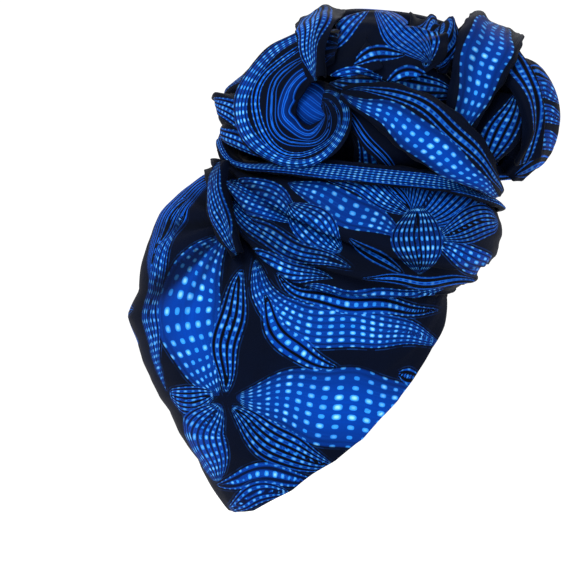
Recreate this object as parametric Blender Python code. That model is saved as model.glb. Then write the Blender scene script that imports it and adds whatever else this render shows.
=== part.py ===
"""African head wrap: one long cotton cloth drawn over the head as a cap, wound round the
crown as a band, and folded and tucked into a large rosette bun on top.

Metres, +Z up. +X is the front, the near side in these names is the right, at -Y, and the far
side is the left. The origin is where the crown of the head meets the inside of the cap.
Lengths in the tables are millimetres and angles are degrees.
"""

import math

import bmesh
import bpy
import numpy as np
from mathutils.bvhtree import BVHTree

MM = 0.001

# Cloth and clearances, in millimetres. A fold is the cloth doubled and padded by its own turns.
CAP_WALL = 2.0
FOLD_WALL = 2.0
CLEARANCE = 0.35
FAR_SIDE_SCALE = 0.94

# How many points round or along, and down or across, each kind of sheet is drawn with.
CAP_POINTS = (28, 10)
WRAP_POINTS = (26, 6)
NEAR_POINTS = (9, 6)
FAR_POINTS = (7, 5)
SWIRL_POINTS = {"swirl_fold": (18, 6), "far_swirl_fold": (14, 5)}
CORE_POINTS = (18, 10)

# The head's centre below the crown, and the cap's round: how far the cloth lies from that
# centre towards the front, the side and the back, by the angle down from the crown.
HEAD_CENTRE = np.array([0.0, 0.0, -84.5])
FORWARD_REACH = (
    # down, reach
    (0, 86.5), (20, 88), (40, 92), (57, 95.5), (75, 98), (90, 99), (105, 100),
    (120, 104), (135, 112), (150, 125), (160, 135),
)
SIDEWAYS_REACH = (
    # down, reach
    (0, 86.5), (20, 85), (40, 82.4), (57, 80), (75, 78.4), (90, 78), (105, 78.5),
    (115, 80.5), (125, 86), (135, 95), (145, 107), (155, 124), (160, 132),
)
BACKWARD_REACH = (
    # down, reach: the cloth tents up to the knot, and has one soft peak at the back
    (0, 86.5), (10, 98), (22, 115.5), (30, 118.4), (40, 118), (50, 118.4), (57, 114.5),
    (67, 111), (76, 107.5), (85, 112), (94, 105.5), (107, 101.8), (122, 99.2),
    (142, 106.6), (158, 124.8), (160, 127),
)
# The cap's edge: from under the band at the front, down each side to the nape.
CAP_RIM = (
    # round from the front, down from the crown
    (0, 75), (9, 77.5), (18, 88), (27, 96.5), (33, 105), (42, 118), (57, 133),
    (71, 141), (95, 149.5), (125, 155.7), (150, 157.6), (180, 158),
)
# Where the first ring of points lies round the crown, as a share of the way to the edge.
CROWN_SHARE = 0.06
# Creases in the cap that run out from the gather at each end of the band.
GATHER = np.array([-41.0, 47.0, -15.0])
CREASE_START = 12
CREASE_SHOULDER = 0.35
SHOULDER_TURNS = 2.2
CAP_CREASES = (
    # angle in the side view, length, depth, half width in degrees
    (150, 60, 3.0, 8), (186, 70, 3.5, 8), (222, 95, 6.0, 8), (240, 90, 4.0, 6),
    (262, 70, 3.0, 6), (282, 60, 3.0, 6), (300, 70, 3.5, 6), (318, 80, 3.0, 5),
)

# The bun's round: a flattened ball, longest from front to back, over a core of bunched cloth.
BUN_CENTRE = np.array([57.0, 0.0, 57.0])
BUN_HALF = np.array([107.0, 84.0, 64.0])
CORE_SHARE = 0.76
CORE_PLEATS = 5
CORE_PLEAT_DEPTH = 0.03

# Cross-sections of a fold: across as a share of its width, out as a share of its crown.
PUFF = ((-0.5, -1.0), (-0.46, -0.2), (-0.3, 0.65), (0, 1), (0.3, 0.65), (0.46, -0.2), (0.5, -1.0))
LAP = ((-0.5, -0.5), (-0.46, 0.3), (-0.34, 0.8), (-0.1, 1), (0.2, 0.8), (0.42, 0.15), (0.5, -0.8))
LEAF = ((-0.5, -0.4), (-0.3, 0.5), (0, 1), (0.3, 0.5), (0.5, -0.4))
PLEATED = (
    (-0.5, -0.6), (-0.38, 0.7), (-0.25, -0.3), (-0.1, 1), (0.05, -0.3), (0.2, 0.9), (0.33, -0.2), (0.5, 0.4),
)

# Each row of a fold is one section across it: where its middle is, its width, how far it
# leans, and how far it crowns outwards. A wrap is given on the near side, back to front.
WRAP_MIDDLE = 43
WRAP_BACK = -40
WRAPS = {
    "rolled_edge": (PUFF, (
        # x, y, z, width, lean, crown
        (-46, 0, 30, 10, 0, 4), (-37, -34, 17, 10, 0, 4), (0, -61, 18, 12, 0, 5), (43, -72, 13, 12, 0, 5),
        (86, -63, 8, 11, 0, 5), (113, -35, 1, 10, 0, 5), (121, 0, -2, 10, 0, 4),
    )),
    "front_wrap": (LEAF, (
        (-44, 0, 21, 12, 0, 4), (-35, -31, 9, 14, 0, 4), (0, -63, -1, 26, 0, 6), (43, -77, -12, 42, 0, 8),
        (86, -67, -20, 50, 0, 9), (112, -38, -20, 48, 0, 9), (122, 0, -19, 44, 0, 9),
    )),
    "middle_wrap": (LEAF, (
        (-46, 0, 12, 12, 0, 4), (-37, -42, 2, 16, 0, 4), (0, -60, -17, 34, 0, 6), (43, -71, -34, 38, 10, 6),
        (86, -58, -43, 32, 20, 6), (106, -32, -43, 30, 30, 6), (112, 0, -41, 28, 35, 6),
    )),
    "lower_wrap": (LEAF, (
        (-48, 0, 4, 12, 0, 4), (-41, -52, -14, 14, 0, 4), (0, -71, -42, 24, 0, 4), (43, -70, -51, 24, 12, 4),
        (84, -46, -54, 24, 40, 4), (97, -22, -54, 22, 45, 4), (101, 0, -53, 20, 50, 4),
    )),
}
GATHER_FROM = np.array([0.0, 0.0, -40.0])
GATHER_ROLL = (PUFF, (
    # x, y, z, width, lean, crown: down over the ends of the wraps, near side
    (-43, -35, 13, 10, 0, 4), (-46, -43, 0, 16, 0, 6), (-46, -53, -13, 18, 0, 7), (-42, -62, -26, 14, 0, 6),
    (-38, -66, -37, 7, 0, 3),
))

# Each bun row starts with where the section's middle is, and how far it is lifted off the
# bun's round. A near fold is placed along and up in the side view, a top fold along and
# sideways from above, and a back fold sideways and up from behind.
NEAR_FOLDS = {
    "centre_petal": (LAP, (
        # along, up, lift, width, lean, crown
        (28, 60, 2, 6, 0, 3), (41, 57, 4, 19, 0, 4), (57, 52, 7, 32, 0, 7), (76, 41, 9, 40, 0, 9),
        (95, 25, 8, 38, 0, 9), (111, 8, 3, 20, 0, 6),
    )),
    "tall_fold": (LAP, (
        (123, 106, 2, 34, 0, 4), (112, 86, 4, 36, 0, 6), (104, 62, 2, 28, 0, 6), (99, 42, -2, 20, 0, 4),
        (95, 28, -7, 14, 0, 3),
    )),
    "collar_fold": (LEAF, (
        (14, 112, 5, 34, 0, 4), (13, 97, 7, 27, 0, 4), (12, 82, 6, 18, 0, 3), (13, 68, 1, 10, 0, 2),
    )),
    "swirl_fold": (LEAF, (
        (27, 86, -6, 12, 0, 3), (12, 85, -1, 32, -8, 5), (-4, 79, 1, 42, -14, 8), (-17, 66, 2, 44, -14, 8),
        (-17, 47, 3, 42, -14, 8), (-5, 34, 3, 34, -14, 7), (10, 32, 3, 26, -14, 6), (21, 39, 3, 22, -14, 5),
        (25, 49, 2, 18, -14, 5), (21, 57, 1, 14, -14, 4), (16, 59, 0, 8, -14, 3),
    )),
    "swirl_heart": (LEAF, (
        (-12, 64, -5, 10, 0, 3), (0, 59, -4, 30, 0, 5), (13, 51, -4, 30, 0, 5), (25, 44, -4, 10, 0, 3),
    )),
    "peak_fold": (LEAF, (
        (16, 88, -2, 30, 0, 4), (29, 89, 3, 46, 0, 7), (43, 94, 6, 60, 0, 9), (59, 88, 2, 48, 0, 7),
        (74, 89, 0, 34, 0, 6), (87, 95, -2, 10, 0, 3),
    )),
    "pleated_fold": (PLEATED, (
        (90, 107, 2, 46, 0, 6), (85, 93, 1, 34, 0, 5), (81, 78, -5, 16, 0, 3),
    )),
    "right_lobe": (PUFF, (
        (131, 84, -4, 26, 0, 6), (144, 69, 0, 46, 0, 9), (148, 48, 1, 54, 0, 11), (144, 30, 2, 46, 0, 9),
        (135, 18, 1, 26, 0, 6),
    )),
    "right_ridge": (PUFF, (
        (126, 94, 0, 14, 0, 5), (132, 70, 1, 17, 0, 6), (134, 46, 1, 17, 0, 6), (130, 24, 0, 14, 0, 5),
    )),
    "right_roll": (PUFF, (
        (130, 62, -5, 12, 0, 5), (124, 45, -4, 20, 0, 7), (116, 29, -2, 22, 0, 7), (106, 15, -1, 16, 0, 5),
    )),
    "black_wedge": (LAP, (
        (25, 62, 0, 16, 0, 4), (38, 51, 1, 24, 0, 5), (55, 33, 1, 30, 0, 5), (72, 11, 0, 26, 0, 4),
    )),
    "dotted_wedge": (LEAF, (
        (36, 42, -2, 12, 0, 4), (45, 26, -1, 26, 0, 5), (50, 9, 0, 30, 0, 4),
    )),
    "middle_fold": (LEAF, (
        (20, 68, -8, 14, 0, 3), (38, 71, -6, 28, 0, 5), (60, 71, -5, 36, 0, 6), (82, 69, -6, 30, 0, 5),
        (98, 63, -8, 12, 0, 3),
    )),
    "inner_fold": (LEAF, (
        (128, 98, -6, 24, 0, 3), (127, 72, -12, 34, 0, 4), (120, 44, -13, 30, 0, 3),
    )),
    "upper_ruffle": (PUFF, (
        (-50, 62, -4, 6, 0, 2), (-42, 58, 2, 15, 0, 6), (-27, 48, 1, 19, 0, 7), (-12, 40, 0, 15, 0, 5),
        (-2, 35, -3, 7, 0, 2),
    )),
    "lower_ruffle": (PUFF, (
        (-51, 46, -4, 6, 0, 2), (-42, 42, 2, 16, 0, 6), (-26, 34, 1, 19, 0, 7), (-10, 29, 0, 15, 0, 5),
        (2, 26, -2, 8, 0, 2),
    )),
    "front_base_fold": (LEAF, (
        (100, 13, -2, 12, 0, 4), (122, 14, -1, 14, 0, 5), (140, 18, 2, 12, 0, 4),
    )),
}
TOP_FOLDS = {
    "top_middle_fold": (LAP, (
        # along, sideways, lift, width, lean, crown
        (-14, -6, -11, 10, 0, 3), (24, 8, -12, 42, 0, 6), (62, -8, -17, 46, 0, 7), (100, 4, -16, 42, 0, 6),
        (134, -4, -12, 10, 0, 3),
    )),
    "top_near_fold": (PUFF, (
        (-20, -26, -9, 8, 0, 3), (20, -36, -11, 34, 0, 6), (62, -40, -15, 36, 0, 7),
        (106, -34, -13, 10, 0, 3),
    )),
    "top_far_fold": (PUFF, (
        (-20, 26, -9, 8, 0, 3), (20, 38, -10, 34, 0, 6), (62, 36, -15, 36, 0, 7), (106, 36, -13, 10, 0, 3),
    )),
}
BACK_FOLDS = {
    "back_upper_fold": (LAP, (
        # sideways, up, lift, width, lean, crown
        (-40, 84, -8, 24, 0, 5), (-14, 84, -9, 32, 0, 6), (16, 82, -9, 32, 0, 6), (42, 80, -8, 24, 0, 5),
    )),
    "back_lower_fold": (LEAF, (
        (-44, 58, -10, 20, 0, 4), (-16, 58, -10, 26, 0, 5), (16, 58, -10, 26, 0, 5), (44, 58, -10, 20, 0, 4),
    )),
}
FRONT_FOLDS = {
    "front_upper_fold": (LEAF, (
        # sideways, up, lift, width, lean, crown
        (-26, 84, -9, 20, 0, 4), (-9, 82, -8, 30, 0, 5), (9, 80, -8, 30, 0, 5), (26, 84, -9, 20, 0, 4),
    )),
    "front_lower_fold": (LEAF, (
        (-26, 44, -10, 30, 0, 5), (-9, 42, -9, 40, 0, 6), (9, 44, -9, 40, 0, 6), (26, 46, -10, 30, 0, 5),
    )),
}
# Which way each face of the bun is seen: along which axis, and from which end of it.
BUN_FACES = ((NEAR_FOLDS, 1, -1), (TOP_FOLDS, 2, 1), (BACK_FOLDS, 0, -1), (FRONT_FOLDS, 0, 1))
# The order in which the sheets are laid, innermost first. Those whose names start with far
# are the near folds mirrored to the hidden side.
LAYERS = (
    "front_lower_fold", "front_upper_fold", "front_base_fold", "dotted_wedge", "black_wedge",
    "far_black_wedge", "inner_fold", "right_lobe", "far_right_lobe", "right_roll", "lower_wrap",
    "middle_wrap", "front_wrap", "rolled_edge",
    "gather_roll", "far_gather_roll", "middle_fold", "far_middle_fold", "top_near_fold", "top_far_fold",
    "top_middle_fold", "back_lower_fold", "back_upper_fold", "far_lower_ruffle", "far_upper_ruffle",
    "far_pleated_fold", "far_peak_fold", "far_swirl_fold", "far_tall_fold", "far_centre_petal",
    "lower_ruffle", "upper_ruffle", "right_ridge", "pleated_fold", "peak_fold", "swirl_heart", "swirl_fold",
    "collar_fold", "tall_fold", "centre_petal",
)

# Base colours of the cloth where each group of pieces lies, and how it takes the light.
CAP_COLOUR = (0.010, 0.060, 0.260, 1)
WRAP_COLOUR = (0.008, 0.045, 0.210, 1)
FOLD_COLOUR = (0.012, 0.080, 0.340, 1)
CORE_COLOUR = (0.003, 0.008, 0.030, 1)
CLOTH_ROUGHNESS = 0.72
SMOOTH_BELOW = math.radians(50)

# How a sheet is laid over those under it: where on each triangle it is tried, as shares of the
# corners, how often it is moved out, when it is close enough, and how far out is outside it all.
DRAPE_STEPS = 4
DRAPE_SAMPLES = [np.array([first, second, DRAPE_STEPS - first - second]) / DRAPE_STEPS
                 for first in range(DRAPE_STEPS + 1) for second in range(DRAPE_STEPS + 1 - first)]
DRAPE_PASSES = 12
DRAPE_CLOSE = 0.02
SETTLE_PASSES = 30
SETTLE_STEP = 0.4
FAR_OUT = 30.0


def column(rows, place, at, closed=False):
    """One column of a table, read between its rows in a smooth curve. at runs from 0 to 1."""
    values = np.array([row[place] for row in rows], float)
    if closed:
        position = at * len(values)
        first = position.astype(int)
        a, b, c, d = (values[(first + step) % len(values)] for step in (-1, 0, 1, 2))
    else:
        ends = np.concatenate([[2 * values[0] - values[1]], values, [2 * values[-1] - values[-2]]])
        position = np.clip(at, 0, 1) * (len(values) - 1)
        first = np.minimum(position.astype(int), len(values) - 2)
        a, b, c, d = (ends[first + step] for step in range(4))
    part = position - first
    return b + 0.5 * part * (c - a + part * (2 * a - 5 * b + 4 * c - d + part * (3 * (b - c) + d - a)))


def unit(vectors):
    return vectors / np.linalg.norm(vectors, axis=-1, keepdims=True)


def along_rows(points, closed):
    """Which way the points run from row to row."""
    if closed:
        return np.roll(points, -1, axis=0) - np.roll(points, 1, axis=0)
    return np.gradient(points, axis=0)


def swept(centres, outward, section, width, lean, crown, across, closed=False):
    """A grid of points: the section drawn at every centre, square to the way the centres run."""
    along = unit(along_rows(centres, closed))
    side = unit(np.cross(along, outward))
    out = np.cross(side, along)
    lean = np.radians(lean)[:, None]
    tilted_out = out * np.cos(lean) + side * np.sin(lean)
    tilted_side = side * np.cos(lean) - out * np.sin(lean)
    place = np.linspace(0, 1, across)
    over = column(section, 0, place)
    up = column(section, 1, place)
    return (centres[:, None, :] + tilted_side[:, None, :] * (width[:, None] * over)[:, :, None]
            + tilted_out[:, None, :] * (crown[:, None] * up)[:, :, None])


def bun_normal(points):
    return unit((points - BUN_CENTRE) / BUN_HALF**2)


def bun_outward(points):
    """Which way a sheet of the bun is moved out: never down, since its foot stands on the cap."""
    ways = bun_normal(points)
    ways[..., 2] = np.maximum(ways[..., 2], 0)
    return unit(ways)


def wrap_outward(points):
    """Which way a wrap is moved out: level, but up off the cap where it crosses the back."""
    level = points - np.array([WRAP_MIDDLE, 0, 0])
    level[..., 2] = 0
    share = np.clip(points[..., :1] / WRAP_BACK, 0, 1)
    return unit((1 - share) * unit(level) + share * unit(points - HEAD_CENTRE))


def bun_point(first, second, lift, axis, way):
    """The point of the bun's round seen at first and second along the axis, lifted off it."""
    seen = [other for other in range(3) if other != axis]
    points = np.zeros((len(first), 3))
    points[:, seen[0]] = first
    points[:, seen[1]] = second
    offset = (points - BUN_CENTRE) / BUN_HALF
    share = offset[:, seen[0]] ** 2 + offset[:, seen[1]] ** 2
    reach = BUN_HALF[axis] * np.sqrt(np.clip(1 - share, 0, 1))
    points[:, axis] = BUN_CENTRE[axis] + way * reach
    return points + lift[:, None] * bun_normal(points)


def bun_fold_grid(fold, along_count, across_count, axis=1, way=-1):
    """A fold of the bun, by default on its near side."""
    section, rows = fold
    at = np.linspace(0, 1, along_count)
    first, second, lift, width, lean, crown = (column(rows, place, at) for place in range(6))
    centres = bun_point(first, second, lift, axis, way)
    return swept(centres, bun_normal(centres), section, width, lean, crown, across_count)


def far_grid(name, along_count, across_count):
    """A near fold repeated on the hidden side, a little inside the near side's outline."""
    grid = bun_fold_grid(NEAR_FOLDS[name], along_count, across_count) - BUN_CENTRE
    return grid * FAR_SIDE_SCALE * np.array([1, -1, 1]) + BUN_CENTRE


def wrap_grid(name, around_count, across_count):
    """A closed wrap: its rows run from the back to the front of the near side, and back mirrored."""
    section, half = WRAPS[name]
    mirrored = [(x, -y, z, width, lean, crown) for x, y, z, width, lean, crown in half[-2:0:-1]]
    at = np.arange(around_count) / around_count
    rows = list(half) + mirrored
    x, y, z, width, lean, crown = (column(rows, place, at, closed=True) for place in range(6))
    outward = unit(np.stack([x - WRAP_MIDDLE, y, 0 * z], axis=-1))
    centres = np.stack([x, y, z], axis=-1)
    return swept(centres, outward, section, width, lean, crown, across_count, closed=True)


def gather_grid(side, along_count, across_count):
    """The roll of gathered cloth at the back end of the wraps. side is -1 near and 1 far."""
    section, rows = GATHER_ROLL
    at = np.linspace(0, 1, along_count)
    x, y, z, width, lean, crown = (column(rows, place, at) for place in range(6))
    centres = np.stack([x, y, z], axis=-1)
    grid = swept(centres, unit(centres - HEAD_CENTRE), section, width, lean, crown, across_count)
    return grid * np.array([1, -side, 1])


def cap_reach(round_angle, down_angle):
    """How far the cap's cloth is from the head's centre, for arrays of angles in radians."""
    down = np.degrees(down_angle)
    ahead = np.interp(down, *np.transpose(FORWARD_REACH))
    behind = np.interp(down, *np.transpose(BACKWARD_REACH))
    beside = np.interp(down, *np.transpose(SIDEWAYS_REACH))
    lengthways = np.where(np.cos(round_angle) >= 0, ahead, behind)
    return 1 / np.sqrt((np.cos(round_angle) / lengthways) ** 2 + (np.sin(round_angle) / beside) ** 2)


def crease_depth(points):
    """How far the creases that run out from the gather push the cap's cloth in."""
    offset_x = points[..., 0] - GATHER[0]
    offset_z = points[..., 2] - GATHER[2]
    away = np.hypot(np.hypot(offset_x, offset_z), np.abs(points[..., 1]) - GATHER[1])
    heading = np.degrees(np.arctan2(offset_z, offset_x)) % 360
    depth = np.zeros(away.shape)
    for angle, length, deep, half_width in CAP_CREASES:
        turn = np.abs(heading - angle) / half_width
        fade = np.clip(away / CREASE_START, 0, 1) * np.clip(1 - away / length, 0, 1)
        depth += deep * fade * (np.exp(-turn**2) - CREASE_SHOULDER * np.exp(-((turn - SHOULDER_TURNS) ** 2)))
    return depth


def cap_grid(around_count, down_count):
    """The cap's cloth, from just off the crown down to its edge."""
    round_angle = np.linspace(0, 2 * np.pi, around_count, endpoint=False)[:, None]
    rim = np.interp(np.degrees(np.minimum(round_angle, 2 * np.pi - round_angle)), *np.transpose(CAP_RIM))
    down_angle = np.radians(rim) * np.linspace(CROWN_SHARE, 1, down_count)[None, :]
    round_angle = round_angle + 0 * down_angle
    heading = np.stack([np.cos(round_angle) * np.sin(down_angle), np.sin(round_angle) * np.sin(down_angle),
                        np.cos(down_angle)], axis=-1)
    points = HEAD_CENTRE + heading * cap_reach(round_angle, down_angle)[..., None]
    return points - heading * crease_depth(points)[..., None]


def quads(rows, columns, closed):
    """The four corners of each cell of a grid, as places in its list of points."""
    cells = []
    for row in range(rows if closed else rows - 1):
        first = row * columns
        below = (row + 1) % rows * columns
        for place in range(columns - 1):
            cells.append((first + place, below + place, below + place + 1, first + place + 1))
    return cells


def halves(quad):
    """A four-cornered face as two triangles."""
    return [(quad[0], quad[1], quad[2]), (quad[0], quad[2], quad[3])]


def sheet_faces(rows, columns, closed, capped):
    """The faces of a thin closed solid whose outer points come first and inner points after."""
    back = rows * columns
    last = columns - 1
    edges = []
    for row in range(rows if closed else rows - 1):
        first = row * columns
        below = (row + 1) % rows * columns
        edges.append((first + last, below + last))
        if not capped:
            edges.append((below, first))
    if not closed:
        end = (rows - 1) * columns
        edges += [(place, place + 1) for place in range(last)]
        edges += [(end + place + 1, end + place) for place in range(last)]
    faces = []
    for quad in quads(rows, columns, closed):
        faces += halves(quad)
        faces += [tuple(back + corner for corner in reversed(half)) for half in halves(quad)]
    for start, stop in edges:
        faces += halves((start, stop, back + stop, back + start))
    if capped:
        ring = [row * columns for row in range(rows)]
        faces.append(ring)
        faces.append([back + corner for corner in reversed(ring)])
    return faces


def two_sides(grid, thickness, closed):
    """The points of the outer side of cloth of that thickness, and then those of its inner side."""
    out = unit(np.cross(along_rows(grid, closed), np.gradient(grid, axis=1)))
    return np.concatenate([(grid + way * thickness / 2 * out).reshape(-1, 3) for way in (1, -1)])


def wall_mesh(name, grid, thickness, closed=False, capped=False):
    """The grid as a closed solid of cloth of that thickness, in metres."""
    mesh = bpy.data.meshes.new(name)
    faces = sheet_faces(grid.shape[0], grid.shape[1], closed, capped)
    mesh.from_pydata((two_sides(grid, thickness, closed) * MM).tolist(), [], faces)
    tidy = bmesh.new()
    tidy.from_mesh(mesh)
    bmesh.ops.recalc_face_normals(tidy, faces=tidy.faces)
    bmesh.ops.triangulate(tidy, faces=tidy.faces)
    tidy.to_mesh(mesh)
    tidy.free()
    return mesh


def core_mesh(name):
    """The bunched cloth inside the bun: a ball with soft pleats drawn down to its foot."""
    mesh = bpy.data.meshes.new(name)
    ball = bmesh.new()
    bmesh.ops.create_uvsphere(ball, u_segments=CORE_POINTS[0], v_segments=CORE_POINTS[1], radius=1)
    for vertex in ball.verts:
        x, y, z = vertex.co
        pleat = 1 + CORE_PLEAT_DEPTH * math.cos(CORE_PLEATS * math.atan2(y, x)) * math.hypot(x, y)
        place = BUN_CENTRE + BUN_HALF * CORE_SHARE * pleat * np.array([x, y, z])
        vertex.co = (place * MM).tolist()
    bmesh.ops.triangulate(ball, faces=ball.faces)
    ball.to_mesh(mesh)
    ball.free()
    return mesh


class Pile:
    """The pieces laid so far, in millimetres. A new sheet is moved out until it clears them all."""

    def __init__(self):
        self.points = []
        self.faces = []
        self.tree = None

    def add(self, mesh):
        first = len(self.points)
        self.points += [[value / MM for value in vertex.co] for vertex in mesh.vertices]
        self.faces += [[first + corner for corner in face.vertices] for face in mesh.polygons]
        self.tree = BVHTree.FromPolygons(self.points, self.faces)

    def shortfall(self, point, way, need):
        """How far a point has to move out that way to be on top of the pile and clear of it."""
        top = self.tree.ray_cast(point + way * FAR_OUT, -way)[0]
        if top is not None:
            above = np.dot(np.array(top) - point, way)
            if above > 0:
                return above + need
        distance = self.tree.find_nearest(point)[3]
        return max(0.0, need - distance)

    def draped(self, grid, outward, need, closed):
        """The grid laid over the pile: each point moved out until the cloth round it is clear."""
        points = grid.reshape(-1, 3).copy()
        ways = outward.reshape(-1, 3)
        cells = quads(grid.shape[0], grid.shape[1], closed)
        triangles = [half for quad in cells for half in halves(quad)]
        for _ in range(DRAPE_PASSES):
            rise = np.zeros(len(points))
            for triangle in triangles:
                corners = list(triangle)
                for shares in DRAPE_SAMPLES:
                    point = shares @ points[corners]
                    short = self.shortfall(point, unit(shares @ ways[corners]), need)
                    rise[corners] = np.maximum(rise[corners], short)
            points += rise[:, None] * ways
            if rise.max() < DRAPE_CLOSE:
                break
        return self.settled(points.reshape(grid.shape), outward, closed)

    def settled(self, grid, outward, closed):
        """The draped grid with the points of each face that still meets the pile eased out."""
        points = grid.copy()
        faces = sheet_faces(grid.shape[0], grid.shape[1], closed, False)
        for _ in range(SETTLE_PASSES):
            sides = two_sides(points, FOLD_WALL + CLEARANCE, closed)
            meeting = self.tree.overlap(BVHTree.FromPolygons(sides.tolist(), faces))
            corners = {corner % (len(sides) // 2) for _, face in meeting for corner in faces[face]}
            if not corners:
                break
            points.reshape(-1, 3)[list(corners)] += SETTLE_STEP * outward.reshape(-1, 3)[list(corners)]
        return points


def cloth_material(name, colour):
    """Printed cotton: matt, not metallic, in the print's average colour for that group."""
    material = bpy.data.materials.new(name)
    material.use_nodes = True
    shader = material.node_tree.nodes["Principled BSDF"]
    shader.inputs["Base Color"].default_value = colour
    shader.inputs["Roughness"].default_value = CLOTH_ROUGHNESS
    shader.inputs["Metallic"].default_value = 0
    return material


def add_piece(name, mesh, colour):
    piece = bpy.data.objects.new(name, mesh)
    bpy.context.scene.collection.objects.link(piece)
    mesh.materials.append(cloth_material(name + "_cloth", colour))
    mesh.shade_smooth()
    mesh.set_sharp_from_angle(angle=SMOOTH_BELOW)


def lay_sheet(pile, name, grid, outward, colour, closed=False):
    """One more layer of cloth on the pile."""
    grid = pile.draped(grid, outward, FOLD_WALL / 2 + CLEARANCE, closed)
    mesh = wall_mesh(name, grid, FOLD_WALL, closed)
    add_piece(name, mesh, colour)
    pile.add(mesh)


def sheet_grid(name):
    """A sheet's grid, and which way out is at each of its points."""
    if name in WRAPS:
        grid = wrap_grid(name, *WRAP_POINTS)
        return grid, wrap_outward(grid)
    if name.endswith("gather_roll"):
        grid = gather_grid(1 if name.startswith("far_") else -1, *FAR_POINTS)
        return grid, unit(grid - GATHER_FROM)
    counts = SWIRL_POINTS.get(name, NEAR_POINTS if name in NEAR_FOLDS else FAR_POINTS)
    if name.startswith("far_"):
        grid = far_grid(name.removeprefix("far_"), *counts)
        return grid, bun_outward(grid)
    for folds, axis, way in BUN_FACES:
        if name in folds:
            grid = bun_fold_grid(folds[name], *counts, axis, way)
    return grid, bun_outward(grid)


def main():
    for thing in list(bpy.data.objects):
        bpy.data.objects.remove(thing)
    pile = Pile()
    cap = wall_mesh("cap", cap_grid(*CAP_POINTS), CAP_WALL, closed=True, capped=True)
    core = core_mesh("bun_core")
    for mesh, colour in ((cap, CAP_COLOUR), (core, CORE_COLOUR)):
        add_piece(mesh.name, mesh, colour)
        pile.add(mesh)
    for name in LAYERS:
        grid, outward = sheet_grid(name)
        lay_sheet(pile, name, grid, outward, WRAP_COLOUR if name in WRAPS else FOLD_COLOUR, name in WRAPS)


main()
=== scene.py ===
"""How the head wrap looks: its cloth drawn finely over the CAD frame, with its print and studio."""
import math

import bmesh
import bpy
import numpy as np
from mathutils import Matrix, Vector
from mathutils.bvhtree import BVHTree

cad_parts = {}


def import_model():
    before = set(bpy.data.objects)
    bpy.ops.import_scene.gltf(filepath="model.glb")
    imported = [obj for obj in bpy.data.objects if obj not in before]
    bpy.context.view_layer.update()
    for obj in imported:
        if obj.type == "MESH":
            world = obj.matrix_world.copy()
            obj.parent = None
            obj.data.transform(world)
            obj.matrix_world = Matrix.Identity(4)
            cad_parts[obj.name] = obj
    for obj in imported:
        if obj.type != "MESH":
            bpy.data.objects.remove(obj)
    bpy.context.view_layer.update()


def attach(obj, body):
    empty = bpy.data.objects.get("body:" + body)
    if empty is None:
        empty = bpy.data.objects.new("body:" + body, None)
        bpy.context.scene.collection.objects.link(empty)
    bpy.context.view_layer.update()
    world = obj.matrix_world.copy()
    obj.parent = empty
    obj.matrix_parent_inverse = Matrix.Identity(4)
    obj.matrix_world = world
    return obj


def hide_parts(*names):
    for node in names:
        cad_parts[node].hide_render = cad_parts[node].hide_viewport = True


MM = 0.001

# Cloth and clearances, in millimetres. A fold is the cloth doubled and padded by its own turns.
CAP_WALL = 2.0
FOLD_WALL = 2.0
CLEARANCE = 0.35
FAR_SIDE_SCALE = 0.94

# How many points round or along, and down or across, each kind of sheet is drawn with.
CAP_POINTS = (28, 10)
WRAP_POINTS = (26, 6)
NEAR_POINTS = (9, 6)
FAR_POINTS = (7, 5)
SWIRL_POINTS = {"swirl_fold": (18, 6), "far_swirl_fold": (14, 5)}
CORE_POINTS = (18, 10)

# The centre of the cap's hollow, below the crown, and the cap's round: how far the cloth lies
# from that centre towards the front, the side and the back, by the angle down from the crown.
HEAD_CENTRE = np.array([0.0, 0.0, -84.5])
FORWARD_REACH = (
    # down, reach
    (0, 86.5), (20, 88), (40, 92), (57, 95.5), (75, 98), (90, 99), (105, 100),
    (120, 104), (135, 112), (150, 125), (160, 135),
)
SIDEWAYS_REACH = (
    # down, reach
    (0, 86.5), (20, 85), (40, 82.4), (57, 80), (75, 78.4), (90, 78), (105, 78.5),
    (115, 80.5), (125, 86), (135, 95), (145, 107), (155, 124), (160, 132),
)
BACKWARD_REACH = (
    # down, reach: the cloth tents up to the knot, and has one soft peak at the back
    (0, 86.5), (10, 98), (22, 115.5), (30, 118.4), (40, 118), (50, 118.4), (57, 114.5),
    (67, 111), (76, 107.5), (85, 112), (94, 105.5), (107, 101.8), (122, 99.2),
    (142, 106.6), (158, 124.8), (160, 127),
)
# The cap's edge: from under the band at the front, down each side to the nape.
CAP_RIM = (
    # round from the front, down from the crown
    (0, 75), (9, 77.5), (18, 88), (27, 96.5), (33, 105), (42, 118), (57, 133),
    (71, 141), (95, 149.5), (125, 155.7), (150, 157.6), (180, 158),
)
# Where the first ring of points lies round the crown, as a share of the way to the edge.
CROWN_SHARE = 0.06
# Creases in the cap that run out from the gather at each end of the band.
GATHER = np.array([-41.0, 47.0, -15.0])
CREASE_START = 12
CREASE_SHOULDER = 0.35
SHOULDER_TURNS = 2.2
CAP_CREASES = (
    # angle in the side view, length, depth, half width in degrees
    (150, 60, 3.0, 8), (186, 70, 3.5, 8), (222, 95, 6.0, 8), (240, 90, 4.0, 6),
    (262, 70, 3.0, 6), (282, 60, 3.0, 6), (300, 70, 3.5, 6), (318, 80, 3.0, 5),
)

# The bun's round: a flattened ball, longest from front to back, over a core of bunched cloth.
BUN_CENTRE = np.array([57.0, 0.0, 57.0])
BUN_HALF = np.array([107.0, 84.0, 64.0])
CORE_SHARE = 0.76
CORE_PLEATS = 5
CORE_PLEAT_DEPTH = 0.03

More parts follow.
